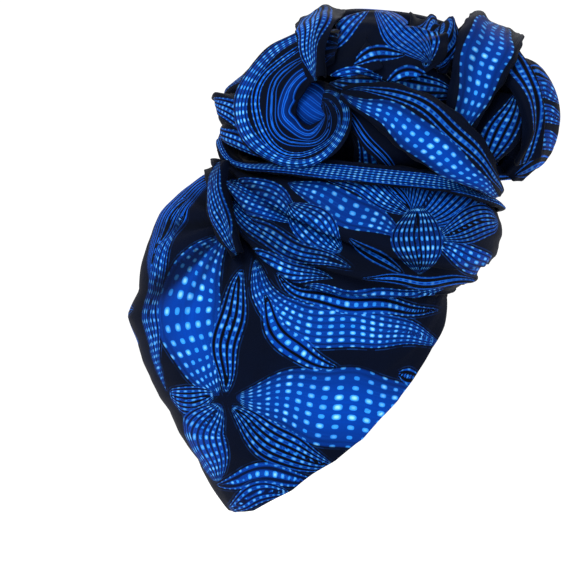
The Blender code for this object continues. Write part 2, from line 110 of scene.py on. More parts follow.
# Cross-sections of a fold: across as a share of its width, out as a share of its crown.
PUFF = ((-0.5, -1.0), (-0.46, -0.2), (-0.3, 0.65), (0, 1), (0.3, 0.65), (0.46, -0.2), (0.5, -1.0))
LAP = ((-0.5, -0.5), (-0.46, 0.3), (-0.34, 0.8), (-0.1, 1), (0.2, 0.8), (0.42, 0.15), (0.5, -0.8))
LEAF = ((-0.5, -0.4), (-0.3, 0.5), (0, 1), (0.3, 0.5), (0.5, -0.4))
PLEATED = (
    (-0.5, -0.6), (-0.38, 0.7), (-0.25, -0.3), (-0.1, 1), (0.05, -0.3), (0.2, 0.9), (0.33, -0.2),
    (0.5, 0.4),
)

# Each row of a fold is one section across it: where its middle is, its width, how far it
# leans, and how far it crowns outwards. A wrap is given on the near side, back to front.
WRAP_MIDDLE = 43
WRAP_BACK = -40
WRAPS = {
    "rolled_edge": (PUFF, (
        # x, y, z, width, lean, crown
        (-46, 0, 30, 10, 0, 4), (-37, -34, 17, 10, 0, 4), (0, -61, 18, 12, 0, 5), (43, -72, 13, 12, 0, 5),
        (86, -63, 8, 11, 0, 5), (113, -35, 1, 10, 0, 5), (121, 0, -2, 10, 0, 4),
    )),
    "front_wrap": (LEAF, (
        (-44, 0, 21, 12, 0, 4), (-35, -31, 9, 14, 0, 4), (0, -63, -1, 26, 0, 6), (43, -77, -12, 42, 0, 8),
        (86, -67, -20, 50, 0, 9), (112, -38, -20, 48, 0, 9), (122, 0, -19, 44, 0, 9),
    )),
    "middle_wrap": (LEAF, (
        (-46, 0, 12, 12, 0, 4), (-37, -42, 2, 16, 0, 4), (0, -60, -17, 34, 0, 6), (43, -71, -34, 38, 10, 6),
        (86, -58, -43, 32, 20, 6), (106, -32, -43, 30, 30, 6), (112, 0, -41, 28, 35, 6),
    )),
    "lower_wrap": (LEAF, (
        (-48, 0, 4, 12, 0, 4), (-41, -52, -14, 14, 0, 4), (0, -71, -42, 24, 0, 4),
        (43, -70, -51, 24, 12, 4), (84, -46, -54, 24, 40, 4), (97, -22, -54, 22, 45, 4),
        (101, 0, -53, 20, 50, 4),
    )),
}
GATHER_FROM = np.array([0.0, 0.0, -40.0])
GATHER_ROLL = (PUFF, (
    # x, y, z, width, lean, crown: down over the ends of the wraps, near side
    (-43, -35, 13, 10, 0, 4), (-46, -43, 0, 16, 0, 6), (-46, -53, -13, 18, 0, 7), (-42, -62, -26, 14, 0, 6),
    (-38, -66, -37, 7, 0, 3),
))

# Each bun row starts with where the section's middle is, and how far it is lifted off the
# bun's round. A near fold is placed along and up in the side view, a top fold along and
# sideways from above, and a back fold sideways and up from behind.
NEAR_FOLDS = {
    "centre_petal": (LAP, (
        # along, up, lift, width, lean, crown
        (28, 60, 2, 6, 0, 3), (41, 57, 4, 19, 0, 4), (57, 52, 7, 32, 0, 7), (76, 41, 9, 40, 0, 9),
        (95, 25, 8, 38, 0, 9), (111, 8, 3, 20, 0, 6),
    )),
    "tall_fold": (LAP, (
        (123, 106, 2, 34, 0, 4), (112, 86, 4, 36, 0, 6), (104, 62, 2, 28, 0, 6), (99, 42, -2, 20, 0, 4),
        (95, 28, -7, 14, 0, 3),
    )),
    "collar_fold": (LEAF, (
        (14, 112, 5, 34, 0, 4), (13, 97, 7, 27, 0, 4), (12, 82, 6, 18, 0, 3), (13, 68, 1, 10, 0, 2),
    )),
    "swirl_fold": (LEAF, (
        (27, 86, -6, 12, 0, 3), (12, 85, -1, 32, -8, 5), (-4, 79, 1, 42, -14, 8), (-17, 66, 2, 44, -14, 8),
        (-17, 47, 3, 42, -14, 8), (-5, 34, 3, 34, -14, 7), (10, 32, 3, 26, -14, 6), (21, 39, 3, 22, -14, 5),
        (25, 49, 2, 18, -14, 5), (21, 57, 1, 14, -14, 4), (16, 59, 0, 8, -14, 3),
    )),
    "swirl_heart": (LEAF, (
        (-12, 64, -5, 10, 0, 3), (0, 59, -4, 30, 0, 5), (13, 51, -4, 30, 0, 5), (25, 44, -4, 10, 0, 3),
    )),
    "peak_fold": (LEAF, (
        (16, 88, -2, 30, 0, 4), (29, 89, 3, 46, 0, 7), (43, 94, 6, 60, 0, 9), (59, 88, 2, 48, 0, 7),
        (74, 89, 0, 34, 0, 6), (87, 95, -2, 10, 0, 3),
    )),
    "pleated_fold": (PLEATED, (
        (90, 107, 2, 46, 0, 6), (85, 93, 1, 34, 0, 5), (81, 78, -5, 16, 0, 3),
    )),
    "right_lobe": (PUFF, (
        (131, 84, -4, 26, 0, 6), (144, 69, 0, 46, 0, 9), (148, 48, 1, 54, 0, 11), (144, 30, 2, 46, 0, 9),
        (135, 18, 1, 26, 0, 6),
    )),
    "right_ridge": (PUFF, (
        (126, 94, 0, 14, 0, 5), (132, 70, 1, 17, 0, 6), (134, 46, 1, 17, 0, 6), (130, 24, 0, 14, 0, 5),
    )),
    "right_roll": (PUFF, (
        (130, 62, -5, 12, 0, 5), (124, 45, -4, 20, 0, 7), (116, 29, -2, 22, 0, 7), (106, 15, -1, 16, 0, 5),
    )),
    "black_wedge": (LAP, (
        (25, 62, 0, 16, 0, 4), (38, 51, 1, 24, 0, 5), (55, 33, 1, 30, 0, 5), (72, 11, 0, 26, 0, 4),
    )),
    "dotted_wedge": (LEAF, (
        (36, 42, -2, 12, 0, 4), (45, 26, -1, 26, 0, 5), (50, 9, 0, 30, 0, 4),
    )),
    "middle_fold": (LEAF, (
        (20, 68, -8, 14, 0, 3), (38, 71, -6, 28, 0, 5), (60, 71, -5, 36, 0, 6), (82, 69, -6, 30, 0, 5),
        (98, 63, -8, 12, 0, 3),
    )),
    "inner_fold": (LEAF, (
        (128, 98, -6, 24, 0, 3), (127, 72, -12, 34, 0, 4), (120, 44, -13, 30, 0, 3),
    )),
    "upper_ruffle": (PUFF, (
        (-50, 62, -4, 6, 0, 2), (-42, 58, 2, 15, 0, 6), (-27, 48, 1, 19, 0, 7), (-12, 40, 0, 15, 0, 5),
        (-2, 35, -3, 7, 0, 2),
    )),
    "lower_ruffle": (PUFF, (
        (-51, 46, -4, 6, 0, 2), (-42, 42, 2, 16, 0, 6), (-26, 34, 1, 19, 0, 7), (-10, 29, 0, 15, 0, 5),
        (2, 26, -2, 8, 0, 2),
    )),
    "front_base_fold": (LEAF, (
        (100, 13, -2, 12, 0, 4), (122, 14, -1, 14, 0, 5), (140, 18, 2, 12, 0, 4),
    )),
}
TOP_FOLDS = {
    "top_middle_fold": (LAP, (
        # along, sideways, lift, width, lean, crown
        (-14, -6, -11, 10, 0, 3), (24, 8, -12, 42, 0, 6), (62, -8, -17, 46, 0, 7), (100, 4, -16, 42, 0, 6),
        (134, -4, -12, 10, 0, 3),
    )),
    "top_near_fold": (PUFF, (
        (-20, -26, -9, 8, 0, 3), (20, -36, -11, 34, 0, 6), (62, -40, -15, 36, 0, 7),
        (106, -34, -13, 10, 0, 3),
    )),
    "top_far_fold": (PUFF, (
        (-20, 26, -9, 8, 0, 3), (20, 38, -10, 34, 0, 6), (62, 36, -15, 36, 0, 7), (106, 36, -13, 10, 0, 3),
    )),
}
BACK_FOLDS = {
    "back_upper_fold": (LAP, (
        # sideways, up, lift, width, lean, crown
        (-40, 84, -8, 24, 0, 5), (-14, 84, -9, 32, 0, 6), (16, 82, -9, 32, 0, 6), (42, 80, -8, 24, 0, 5),
    )),
    "back_lower_fold": (LEAF, (
        (-44, 58, -10, 20, 0, 4), (-16, 58, -10, 26, 0, 5), (16, 58, -10, 26, 0, 5),
        (44, 58, -10, 20, 0, 4),
    )),
}
FRONT_FOLDS = {
    "front_upper_fold": (LEAF, (
        # sideways, up, lift, width, lean, crown
        (-26, 84, -9, 20, 0, 4), (-9, 82, -8, 30, 0, 5), (9, 80, -8, 30, 0, 5), (26, 84, -9, 20, 0, 4),
    )),
    "front_lower_fold": (LEAF, (
        (-26, 44, -10, 30, 0, 5), (-9, 42, -9, 40, 0, 6), (9, 44, -9, 40, 0, 6), (26, 46, -10, 30, 0, 5),
    )),
}
# Which way each face of the bun is seen: along which axis, and from which end of it.
BUN_FACES = ((NEAR_FOLDS, 1, -1), (TOP_FOLDS, 2, 1), (BACK_FOLDS, 0, -1), (FRONT_FOLDS, 0, 1))
# The order in which the sheets are laid, innermost first. Those whose names start with far
# are the near folds mirrored to the hidden side.
LAYERS = (
    "front_lower_fold", "front_upper_fold", "front_base_fold", "dotted_wedge", "black_wedge",
    "far_black_wedge", "inner_fold", "right_lobe", "far_right_lobe", "right_roll", "lower_wrap",
    "middle_wrap", "front_wrap", "rolled_edge",
    "gather_roll", "far_gather_roll", "middle_fold", "far_middle_fold", "top_near_fold", "top_far_fold",
    "top_middle_fold", "back_lower_fold", "back_upper_fold", "far_lower_ruffle", "far_upper_ruffle",
    "far_pleated_fold", "far_peak_fold", "far_swirl_fold", "far_tall_fold", "far_centre_petal",
    "lower_ruffle", "upper_ruffle", "right_ridge", "pleated_fold", "peak_fold", "swirl_heart", "swirl_fold",
    "collar_fold", "tall_fold", "centre_petal",
)

# How finely the cloth is drawn here, beside the coarse counts that it is laid with.
FINE_CAP = (240, 120)
FINE_POINTS = {
    "wrap": (280, 36), "near": (80, 40), "far": (44, 24),
    "swirl_fold": (170, 44), "far_swirl_fold": (110, 30),
}
COARSE_POINTS = {"wrap": WRAP_POINTS, "near": NEAR_POINTS, "far": FAR_POINTS, **SWIRL_POINTS}
FINE_CORE = (160, 80)
THREAD_WALL = 1.3

# Narrow tucks that run along a sheet: how far apart and how deep, in millimetres.
CREASES = ((30.0, 2.8), (14.0, 1.7), (7.0, 0.5))
# A tuck sways to the side: how far, as a turn, and over how many times the distance between tucks.
TUCK_SWAYS = ((0.9, 2.6), (0.35, 1.1))
# How narrow a tuck is, how rounded its bottom is, and how far the cloth swells between tucks.
CREASE_SHARPNESS = 1.5
TUCK_ROUNDING = 0.02
CREASE_MIDDLE = 1.2
# How much shallower tucks are in the middle of a sheet than at its gathered ends.
GATHERED_MORE = 0.6
# How deep a tuck is that gets full painted shade, and how dark that painted shade is.
TUCK_FULL_MM = 3.2
TUCK_SHADE = 0.85
# A wrap gets painted shade along its edges, where the next turn laps it and would cast its shadow.
LAP_SHADE = 0.95
LAP_SHARPNESS = 7
# The cap has shallower tucks of its own, and gets painted shade in those that run out from its gather.
CAP_SEED = 3
CAP_CREASED = 0.3
CAP_TUCK_MM = 1.5
# The slight wave along a sheet's free edges, in millimetres, how much flatter the tucks are there,
# and how soon the edge begins.
EDGE_WAVE = 21.0
EDGE_WAVE_DEPTH = 0.5
EDGE_FLATTER = 0.6
EDGE_SHARPNESS = 5
# A closed sheet's tucks fade where its two ends meet, over this part of its length.
SEAM_FADE = 25
# How often the draping of a fold with a tight bend is eased from row to row. Others are eased once.
EASE_TIMES = {"swirl_fold": 4, "far_swirl_fold": 4, "peak_fold": 2, "tall_fold": 2}
# How often the finely drawn rows of a tightly wound fold are eased, which rounds its inner edge.
SMOOTH_TIMES = {"swirl_fold": 44, "far_swirl_fold": 18}

# The print: petals of dots on blue. Each petal on the cap or a wrap follows a line seen from
# the side; a petal of a fold runs along the fold, at a share of its width.
# Style: half width, rows each side of the middle, distance between dots, how blue the ground is,
# and how bright the dots, the lines between rows and the outlines are.
CAP_PRINT = (
    (((-50, -125), (-64, -100), (-70, -66), (-60, -40), (-48, -22)), (20, 3, 6.4, 1.0, 1.0, 0.4, 0.1)),
    (((-47, -124), (-46, -88), (-39, -59), (-36, -44)), (9, 2, 4.2, 0.0, 0.6, 0.7, 0.1)),
    (((-41, -125), (-11, -126), (21, -131), (54, -135), (98, -140)), (25, 4, 6.6, 1.0, 1.0, 0.4, 0.1)),
    (((-44, -130), (-26, -146), (-3, -161), (21, -167)), (12, 3, 4.8, 0.0, 0.6, 0.7, 0.1)),
    (((-50, -128), (-62, -150), (-52, -182)), (16, 4, 4.6, 0.15, 0.75, 0.8, 0.15)),
    (((-52, -124), (-68, -127), (-88, -125)), (9, 3, 4.0, 0.0, 0.6, 0.7, 0.15)),
    (((-74, -8), (-92, -39), (-98, -72), (-94, -101), (-90, -124)), (9, 3, 4.2, 0.15, 0.75, 0.8, 0.15)),
    (((-30, -38), (-21, -62), (-7, -76), (21, -81), (54, -83), (90, -92)),
     (13, 3, 4.8, 0.5, 1.0, 0.8, 0.2)),
    (((-24, -60), (-13, -85), (3, -99), (24, -106)), (7, 1, 4.4, 0.0, 0.9, 0.9, 0.3)),
    (((-16, -47), (3, -62), (46, -68), (89, -72)), (6, 1, 4.0, 0.0, 0.8, 0.9, 0.2)),
    (((-54, -184), (-26, -174), (10, -177)), (7, 1, 3.8, 0.1, 0.8, 0.8, 0.1)),
    (((-47, -200), (-29, -187), (-6, -184)), (7, 2, 3.6, 0.1, 0.8, 0.8, 0.1)),
    (((-104, -52), (-98, -20), (-83, 4), (-58, 16)), (20, 4, 5.0, 0.0, 0.0, 0.9, 0.2)),
    (((-98, -32), (-90, -14), (-76, 0)), (8, 2, 4.6, 0.0, 0.2, 0.9, 0.2)),
    (((60, -110), (75, -113)), (5, 1, 3.6, 0.0, 0.5, 0.8, 0.1)),
)
WRAP_PRINT = (
    (((66, -17), (91, 13), (110, 44)), (32.5, 9, 3.4, 0.1, 0.25, 1, 0)),
    (((47, 16), (57, 3), (68, -12)), (5.2, 2, 3.6, 0, 0, 0.9, 0)),
    (((10, 16), (39, 6), (68, -14)), (7.8, 3, 4, 0.05, 0.8, 0.9, 0)),
    (((-8, 9), (25, -7), (64, -25)), (10.4, 2, 5.4, 0.75, 1, 0.7, 0)),
    (((-48, 9), (-25, -1), (-1, -16)), (12.3, 4, 3.4, 0.3, 1, 0.9, 0)),
    (((-8, -4), (8, -20), (26, -35)), (13, 4, 3.6, 0.15, 1, 0.9, 0)),
    (((-48, 0), (-27, -21), (0, -35), (32, -44)), (6.5, 2, 3.8, 0.05, 0.75, 0.8, 0.2)),
    (((-46, -30), (-14, -44), (20, -52)), (6.5, 2, 3.6, 0.05, 0.8, 0.8, 0)),
    (((29, -25), (47, -39), (65, -48)), (4.5, 1, 3.6, 0, 0.2, 0.7, 0)),
    (((84, -27), (107, -17), (136, -13)), (11.1, 4, 3.4, 0, 0.45, 0.9, 0)),
    (((82, -29), (105, -38), (133, -46)), (7.8, 2, 4.2, 0.2, 1, 0.9, 0.2)),
    (((71, -6), (72, -26), (73, -49)), (16.2, 5, 4.2, 0, 1, 0.6, 0)),
    (((0, -55), (29, -63), (55, -64), (91, -58)), (6.5, 2, 4.2, 0.3, 1, 0.9, 0)),
    (((36, -50), (73, -53), (116, -52)), (3.9, 1, 3.4, 0, 0.2, 1, 0)),
)
PEAK_PRINT = (
    (((9, 86), (25, 102), (44, 120)), (7.5, 2, 3.6, 0.15, 0.6, 0.9, 0)),
    (((79, 80), (64, 99), (45, 119)), (12, 4, 3.6, 0.2, 0.25, 0.9, 0)),
    (((77, 77), (77, 98), (68, 118)), (7.2, 2, 3.6, 0, 0.8, 0.8, 0)),
    (((13, 65), (31, 73), (52, 70)), (5.9, 2, 3.8, 0.2, 1, 0.9, 0)),
    (((32, 78), (48, 87), (65, 86)), (5.2, 1, 3.6, 0, 0.7, 0.8, 0)),
    (((49, 65), (65, 73), (83, 69)), (5.2, 1, 3.6, 0, 0.7, 0.7, 0)),
)
LOBE_PRINT = (
    (((138, 55), (152, 68), (169, 61)), (6.5, 2, 4, 0.2, 1, 0.9, 0)),
    (((138, 40), (153, 52), (170, 49)), (5.9, 2, 3.8, 0.1, 0.8, 0.9, 0)),
    (((138, 29), (155, 36), (170, 34)), (5.9, 2, 4, 0.2, 1, 0.9, 0)),
    (((135, 14), (151, 22), (166, 23)), (5.2, 1, 3.4, 0, 0.2, 0.9, 0)),
    (((139, 70), (148, 79), (161, 75)), (4.5, 1, 3.4, 0, 0.2, 0.8, 0)),
)
LINE_PRINT = {
    "cap": CAP_PRINT, "front_wrap": WRAP_PRINT, "middle_wrap": WRAP_PRINT, "lower_wrap": WRAP_PRINT,
    "peak_fold": PEAK_PRINT, "right_lobe": LOBE_PRINT,
}
PLAIN_FOLD_PRINT = ((-0.22, (0.2, 2, 4.6, 0.0, 0.6, 0.7, 0)), (0.27, (0.13, 1, 4.0, 0.0, 0.0, 0.8, 0)))
FOLD_PRINT = {
    "centre_petal": (
        (0.14, (0.3, 2, 6.6, 0.9, 1.0, 0.4, 0)), (-0.3, (0.12, 1, 4.0, 0.0, 0.4, 0.8, 0)),
    ),
    "tall_fold": ((0.0, (0.4, 2, 6.4, 0.8, 1.0, 0.4, 0)),),
    "swirl_fold": (
        (0.35, (0.13, 2, 3.6, 0.1, 0.95, 0.9, 0)), (0.12, (0.07, 1, 3.6, 0.0, 0.4, 1.0, 0)),
        (-0.1, (0.08, 1, 3.6, 0.05, 0.0, 1.0, 0)), (-0.34, (0.11, 1, 3.6, 0.4, 0.0, 0.9, 0)),
    ),
    "swirl_heart": ((0.0, (0.42, 3, 3.6, 0.6, 0.0, 0.4, 0)),),
    "collar_fold": ((0.05, (0.43, 3, 3.8, 0.0, 0.75, 0.9, 0)),),
    "pleated_fold": ((0.0, (0.45, 4, 3.8, 0.0, 0.4, 0.9, 0)),),
    "right_ridge": ((0.0, (0.38, 1, 4.2, 0.0, 0.5, 0.8, 0)),),
    "right_roll": ((0.05, (0.34, 2, 4.0, 0.0, 0.7, 0.8, 0)),),
    "black_wedge": ((0.3, (0.12, 1, 4.0, 0.0, 0.0, 0.6, 0)),),
    "dotted_wedge": ((0.0, (0.36, 2, 4.0, 0.05, 0.8, 0.8, 0)),),
    "middle_fold": ((0.1, (0.32, 2, 4.2, 0.0, 0.7, 0.7, 0)),),
    "inner_fold": ((0.2, (0.1, 1, 4.0, 0.0, 0.0, 0.6, 0)),),
    **dict.fromkeys(("upper_ruffle", "lower_ruffle"), ((0.0, (0.36, 2, 4.0, 0.0, 0.7, 0.8, 0)),)),
    "front_base_fold": ((0.0, (0.3, 1, 3.8, 0.0, 0.2, 0.8, 0)),),
    "gather_roll": ((0.0, (0.44, 3, 3.8, 0.05, 0.7, 0.8, 0)),),
    "rolled_edge": ((0.08, (0.36, 3, 3.6, 0.05, 0.7, 0.9, 0)),),
}
# A petal narrows to a point at both ends: how soon, and how wide it stays at least.
PETAL_POINT = 0.8
FOLD_PETAL_POINT = 0.4
FOLD_PETAL_END = 0.05
LEAST_HALF = 0.05
# Two petals closer than this, in millimetres, are kept in separate layers. Where a point is in no
# petal it is far across.
PETAL_CLEAR = 4.0
FAR_ACROSS = 9.0
# A petal's line is measured at so many points along it.
LINE_STEPS = 70
# How far a petal sways to the side and over which length, in millimetres, and how differently the
# petals of one fold sway.
SWAY_MM = 1.0
SWAY_LONG = 6.5
SWAY_APART = 20
# Where the cap's and the wraps' print starts to follow the cloth round the back or front end, in
# radians short of that end, and after how many millimetres of cloth the print comes again.
END_TURN = -0.42
PRINT_REPEAT = 212

# The camera and studio, in metres: the photograph's side view from one and a half metres.
CAMERA_AWAY = 1.5
CAMERA_TARGET = (-0.00975, 0.0, -0.05525)
FRAME_WIDTH = 0.3705
SENSOR_MM = 36
FLOOR_HEIGHT = -0.32
FLOOR_RADIUS = 8.0
FLOOR_SIDES = 96
FLOOR_ROUGHNESS = 0.9
FLOOR_GRAIN = {2: 12.0, 3: 3.0}
FLOOR_PALE = ("#fafafa", "#ffffff")
LIGHTS = (
    # name, place, size, watts
    ("key", (-0.9, -1.3, 1.0), 0.7, 18),
    ("fill", (1.1, -1.2, 0.2), 1.2, 3),
    ("back", (0.3, 1.2, 1.1), 0.9, 8),
)
WORLD_STRENGTH = 1.1

# The print's colours.
NAVY_DARK = "#02050f"
NAVY = "#040c22"
ROYAL = "#013a9e"
STRIP_BLUE = "#02338c"
LINE_BLUE = "#186ae2"
DOT_BLUE = "#2488e8"
DOT_PALE = "#92dafc"
# How large the cloth's unevenness, bright patches, crumples and threads are, in millimetres, and
# how much finer detail each has. The threads, really 0.3 apart, are drawn coarser so that they
# show. A wave node of scale one repeats after 0.314 of a unit.
MM_IN_METRE = 1000
DYE_MM = 30
DYE_DETAIL = 4.0
PATCH_MM = 26
PATCH_DETAIL = 2.0
PATCH_RANGE = (0.3, 0.7)
PATCH_LIGHT = (0.75, 1.2)
CRUMPLE_MM = 9
CRUMPLE_DEEP_MM = 0.5
CRUMPLE_DETAIL = 5.0
CRUMPLE_ROUGH = 0.6
CRUMPLE_SHARE = 0.5
THREAD_MM = 0.45
THREAD_DEEP_MM = 0.05
THREAD_BENT = 0.6
THREAD_DETAIL = 2.0
THREAD_SHARE = 0.35
WAVE_TURN = 0.314
# Cotton is matt: its wax finish leaves hardly any shine, and its fibres a trace of sheen.
COTTON_ROUGHNESS = (0.6, 0.75)
COTTON_SHINE = 0.025
COTTON_SHEEN = 0.01
SHEEN_ROUGHNESS = 0.4

# A dot's half size as a share of the distance between dots, how much it shrinks and dims towards
# the petal's side, how square it is, and how soft its edge and that of its pale middle are.
DOT_SHARE = (0.25, 0.36)
DOT_SHRINK = 0.08
DOT_DIMMING = 0.4
DOT_SQUARENESS = 2.6
DOT_EDGE = (1.0, 0.76)
GLOW_EDGE = (0.8, 0.15)
# How the ground fades to the side and to the ends, how the dots fade to the ends, and how much
# further apart they are in the middle.
SIDE_FADE = 0.75
GROUND_FADE = 0.6
DOT_FADE = 0.35
PITCH_SWELL = 0.05
# A strip's half width, as a share of the distance between rows, how much wider it is where it has
# dots, how soft its edge is, and where its brighter threads of blue run. Every edge is a soft step.
STRIP_HALF = 0.26
STRIP_WIDER = 0.17
STRIP_SOFT = 0.1
STRIP_THREAD = 0.17
THREAD_EDGE = (0.08, 0.02)
SOFT_STEP = {"interpolation_type": "SMOOTHSTEP"}
# The outline's distance from the petal and its half width, in millimetres, and where across the
# petal its own edge is.
OUTLINE_AWAY = 1.5
OUTLINE_EDGE = (0.45, 0.2)
PETAL_EDGE = (1.03, 0.98)
# The soft pleats of the core as it is drawn here.
FINE_PLEATS = 23
FINE_PLEAT_DEPTH = 0.05

# How a sheet is laid over those under it: where on each triangle it is tried, as shares of the
# corners, how often it is moved out, when it is close enough, and how far out is outside it all.
DRAPE_STEPS = 4
DRAPE_SAMPLES = [np.array([first, second, DRAPE_STEPS - first - second]) / DRAPE_STEPS
                 for first in range(DRAPE_STEPS + 1) for second in range(DRAPE_STEPS + 1 - first)]
DRAPE_PASSES = 12
DRAPE_CLOSE = 0.02
SETTLE_PASSES = 30
SETTLE_STEP = 0.4
FAR_OUT = 30.0


def read_between(values, at, closed=False):
    """Values given row by row, read between the rows in a smooth curve. at runs from 0 to 1."""
    if closed:
        position = at * len(values)
        first = position.astype(int)
        a, b, c, d = (values[(first + step) % len(values)] for step in (-1, 0, 1, 2))
    else:
        ends = np.concatenate([[2 * values[0] - values[1]], values, [2 * values[-1] - values[-2]]])
        position = np.clip(at, 0, 1) * (len(values) - 1)
        first = np.minimum(position.astype(int), len(values) - 2)
        a, b, c, d = (ends[first + step] for step in range(4))
    part = (position - first).reshape((-1,) + (1,) * (values.ndim - 1))
    return b + 0.5 * part * (c - a + part * (2 * a - 5 * b + 4 * c - d + part * (3 * (b - c) + d - a)))


def column(rows, place, at, closed=False):
    """One column of a table, read between its rows."""
    return read_between(np.array([row[place] for row in rows], float), at, closed)


def unit(vectors):
    return vectors / np.linalg.norm(vectors, axis=-1, keepdims=True)


def along_rows(points, closed):
    """Which way the points run from row to row."""
    if closed:
        return np.roll(points, -1, axis=0) - np.roll(points, 1, axis=0)
    return np.gradient(points, axis=0)


def swept(centres, outward, section, width, lean, crown, across, closed=False):
    """A grid of points: the section drawn at every centre, square to the way the centres run."""
    along = unit(along_rows(centres, closed))
    side = unit(np.cross(along, outward))
    out = np.cross(side, along)
    lean = np.radians(lean)[:, None]
    tilted_out = out * np.cos(lean) + side * np.sin(lean)
    tilted_side = side * np.cos(lean) - out * np.sin(lean)
    place = np.linspace(0, 1, across)
    over = column(section, 0, place)
    up = column(section, 1, place)
    return (centres[:, None, :] + tilted_side[:, None, :] * (width[:, None] * over)[:, :, None]
            + tilted_out[:, None, :] * (crown[:, None] * up)[:, :, None])


def bun_normal(points):
    return unit((points - BUN_CENTRE) / BUN_HALF**2)


def bun_outward(points):
    """Which way a sheet of the bun is moved out: never down, since its foot stands on the cap."""
    ways = bun_normal(points)
    ways[..., 2] = np.maximum(ways[..., 2], 0)
    return unit(ways)


def wrap_outward(points):
    """Which way a wrap is moved out: level, but up off the cap where it crosses the back."""
    level = points - np.array([WRAP_MIDDLE, 0, 0])
    level[..., 2] = 0
    share = np.clip(points[..., :1] / WRAP_BACK, 0, 1)
    return unit((1 - share) * unit(level) + share * unit(points - HEAD_CENTRE))


def bun_point(first, second, lift, axis, way):
    """The point of the bun's round seen at first and second along the axis, lifted off it."""
    seen = [other for other in range(3) if other != axis]
    points = np.zeros((len(first), 3))
    points[:, seen[0]] = first
    points[:, seen[1]] = second
    offset = (points - BUN_CENTRE) / BUN_HALF
    share = offset[:, seen[0]] ** 2 + offset[:, seen[1]] ** 2
    reach = BUN_HALF[axis] * np.sqrt(np.clip(1 - share, 0, 1))
    points[:, axis] = BUN_CENTRE[axis] + way * reach
    return points + lift[:, None] * bun_normal(points)


def bun_fold_grid(fold, along_count, across_count, axis=1, way=-1):
    """A fold of the bun, by default on its near side."""
    section, rows = fold
    at = np.linspace(0, 1, along_count)
    first, second, lift, width, lean, crown = (column(rows, place, at) for place in range(6))
    centres = bun_point(first, second, lift, axis, way)
    return swept(centres, bun_normal(centres), section, width, lean, crown, across_count)


def far_grid(name, along_count, across_count):
    """A near fold repeated on the hidden side, a little inside the near side's outline."""
    grid = bun_fold_grid(NEAR_FOLDS[name], along_count, across_count) - BUN_CENTRE
    return grid * FAR_SIDE_SCALE * np.array([1, -1, 1]) + BUN_CENTRE


def wrap_grid(name, around_count, across_count):
    """A closed wrap: its rows run from the back to the front of the near side, and back mirrored."""
    section, half = WRAPS[name]
    mirrored = [(x, -y, z, width, lean, crown) for x, y, z, width, lean, crown in half[-2:0:-1]]
    at = np.arange(around_count) / around_count
    rows = list(half) + mirrored
    x, y, z, width, lean, crown = (column(rows, place, at, closed=True) for place in range(6))
    outward = unit(np.stack([x - WRAP_MIDDLE, y, 0 * z], axis=-1))
    centres = np.stack([x, y, z], axis=-1)
    return swept(centres, outward, section, width, lean, crown, across_count, closed=True)


def gather_grid(side, along_count, across_count):
    """The roll of gathered cloth at the back end of the wraps. side is -1 near and 1 far."""
    section, rows = GATHER_ROLL
    at = np.linspace(0, 1, along_count)
    x, y, z, width, lean, crown = (column(rows, place, at) for place in range(6))
    centres = np.stack([x, y, z], axis=-1)
    grid = swept(centres, unit(centres - HEAD_CENTRE), section, width, lean, crown, across_count)
    return grid * np.array([1, -side, 1])


def cap_reach(round_angle, down_angle):
    """How far the cap's cloth is from the centre of its hollow, for arrays of angles in radians."""
    down = np.degrees(down_angle)
    ahead = np.interp(down, *np.transpose(FORWARD_REACH))
    behind = np.interp(down, *np.transpose(BACKWARD_REACH))
    beside = np.interp(down, *np.transpose(SIDEWAYS_REACH))
    lengthways = np.where(np.cos(round_angle) >= 0, ahead, behind)
    return 1 / np.sqrt((np.cos(round_angle) / lengthways) ** 2 + (np.sin(round_angle) / beside) ** 2)


def crease_depth(points):
    """How far the creases that run out from the gather push the cap's cloth in."""
    offset_x = points[..., 0] - GATHER[0]
    offset_z = points[..., 2] - GATHER[2]
    away = np.hypot(np.hypot(offset_x, offset_z), np.abs(points[..., 1]) - GATHER[1])
    heading = np.degrees(np.arctan2(offset_z, offset_x)) % 360
    depth = np.zeros(away.shape)
    for angle, length, deep, half_width in CAP_CREASES:
        turn = np.abs(heading - angle) / half_width
        fade = np.clip(away / CREASE_START, 0, 1) * np.clip(1 - away / length, 0, 1)
        shoulder = CREASE_SHOULDER * np.exp(-((turn - SHOULDER_TURNS) ** 2))
        depth += deep * fade * (np.exp(-turn**2) - shoulder)
    return depth


def cap_grid(around_count, down_count):
    """The cap's cloth, from just off the crown down to its edge."""
    round_angle = np.linspace(0, 2 * np.pi, around_count, endpoint=False)[:, None]
    rim = np.interp(np.degrees(np.minimum(round_angle, 2 * np.pi - round_angle)), *np.transpose(CAP_RIM))
    down_angle = np.radians(rim) * np.linspace(CROWN_SHARE, 1, down_count)[None, :]
    round_angle = round_angle + 0 * down_angle
    heading = np.stack([np.cos(round_angle) * np.sin(down_angle), np.sin(round_angle) * np.sin(down_angle),
                        np.cos(down_angle)], axis=-1)
    points = HEAD_CENTRE + heading * cap_reach(round_angle, down_angle)[..., None]
    return points - heading * crease_depth(points)[..., None]


def quads(rows, columns, closed):
    """The four corners of each cell of a grid, as places in its list of points."""
    cells = []
    for row in range(rows if closed else rows - 1):
        first = row * columns
        below = (row + 1) % rows * columns
        for place in range(columns - 1):
            cells.append((first + place, below + place, below + place + 1, first + place + 1))
    return cells


def halves(quad):
    """A four-cornered face as two triangles."""
    return [(quad[0], quad[1], quad[2]), (quad[0], quad[2], quad[3])]


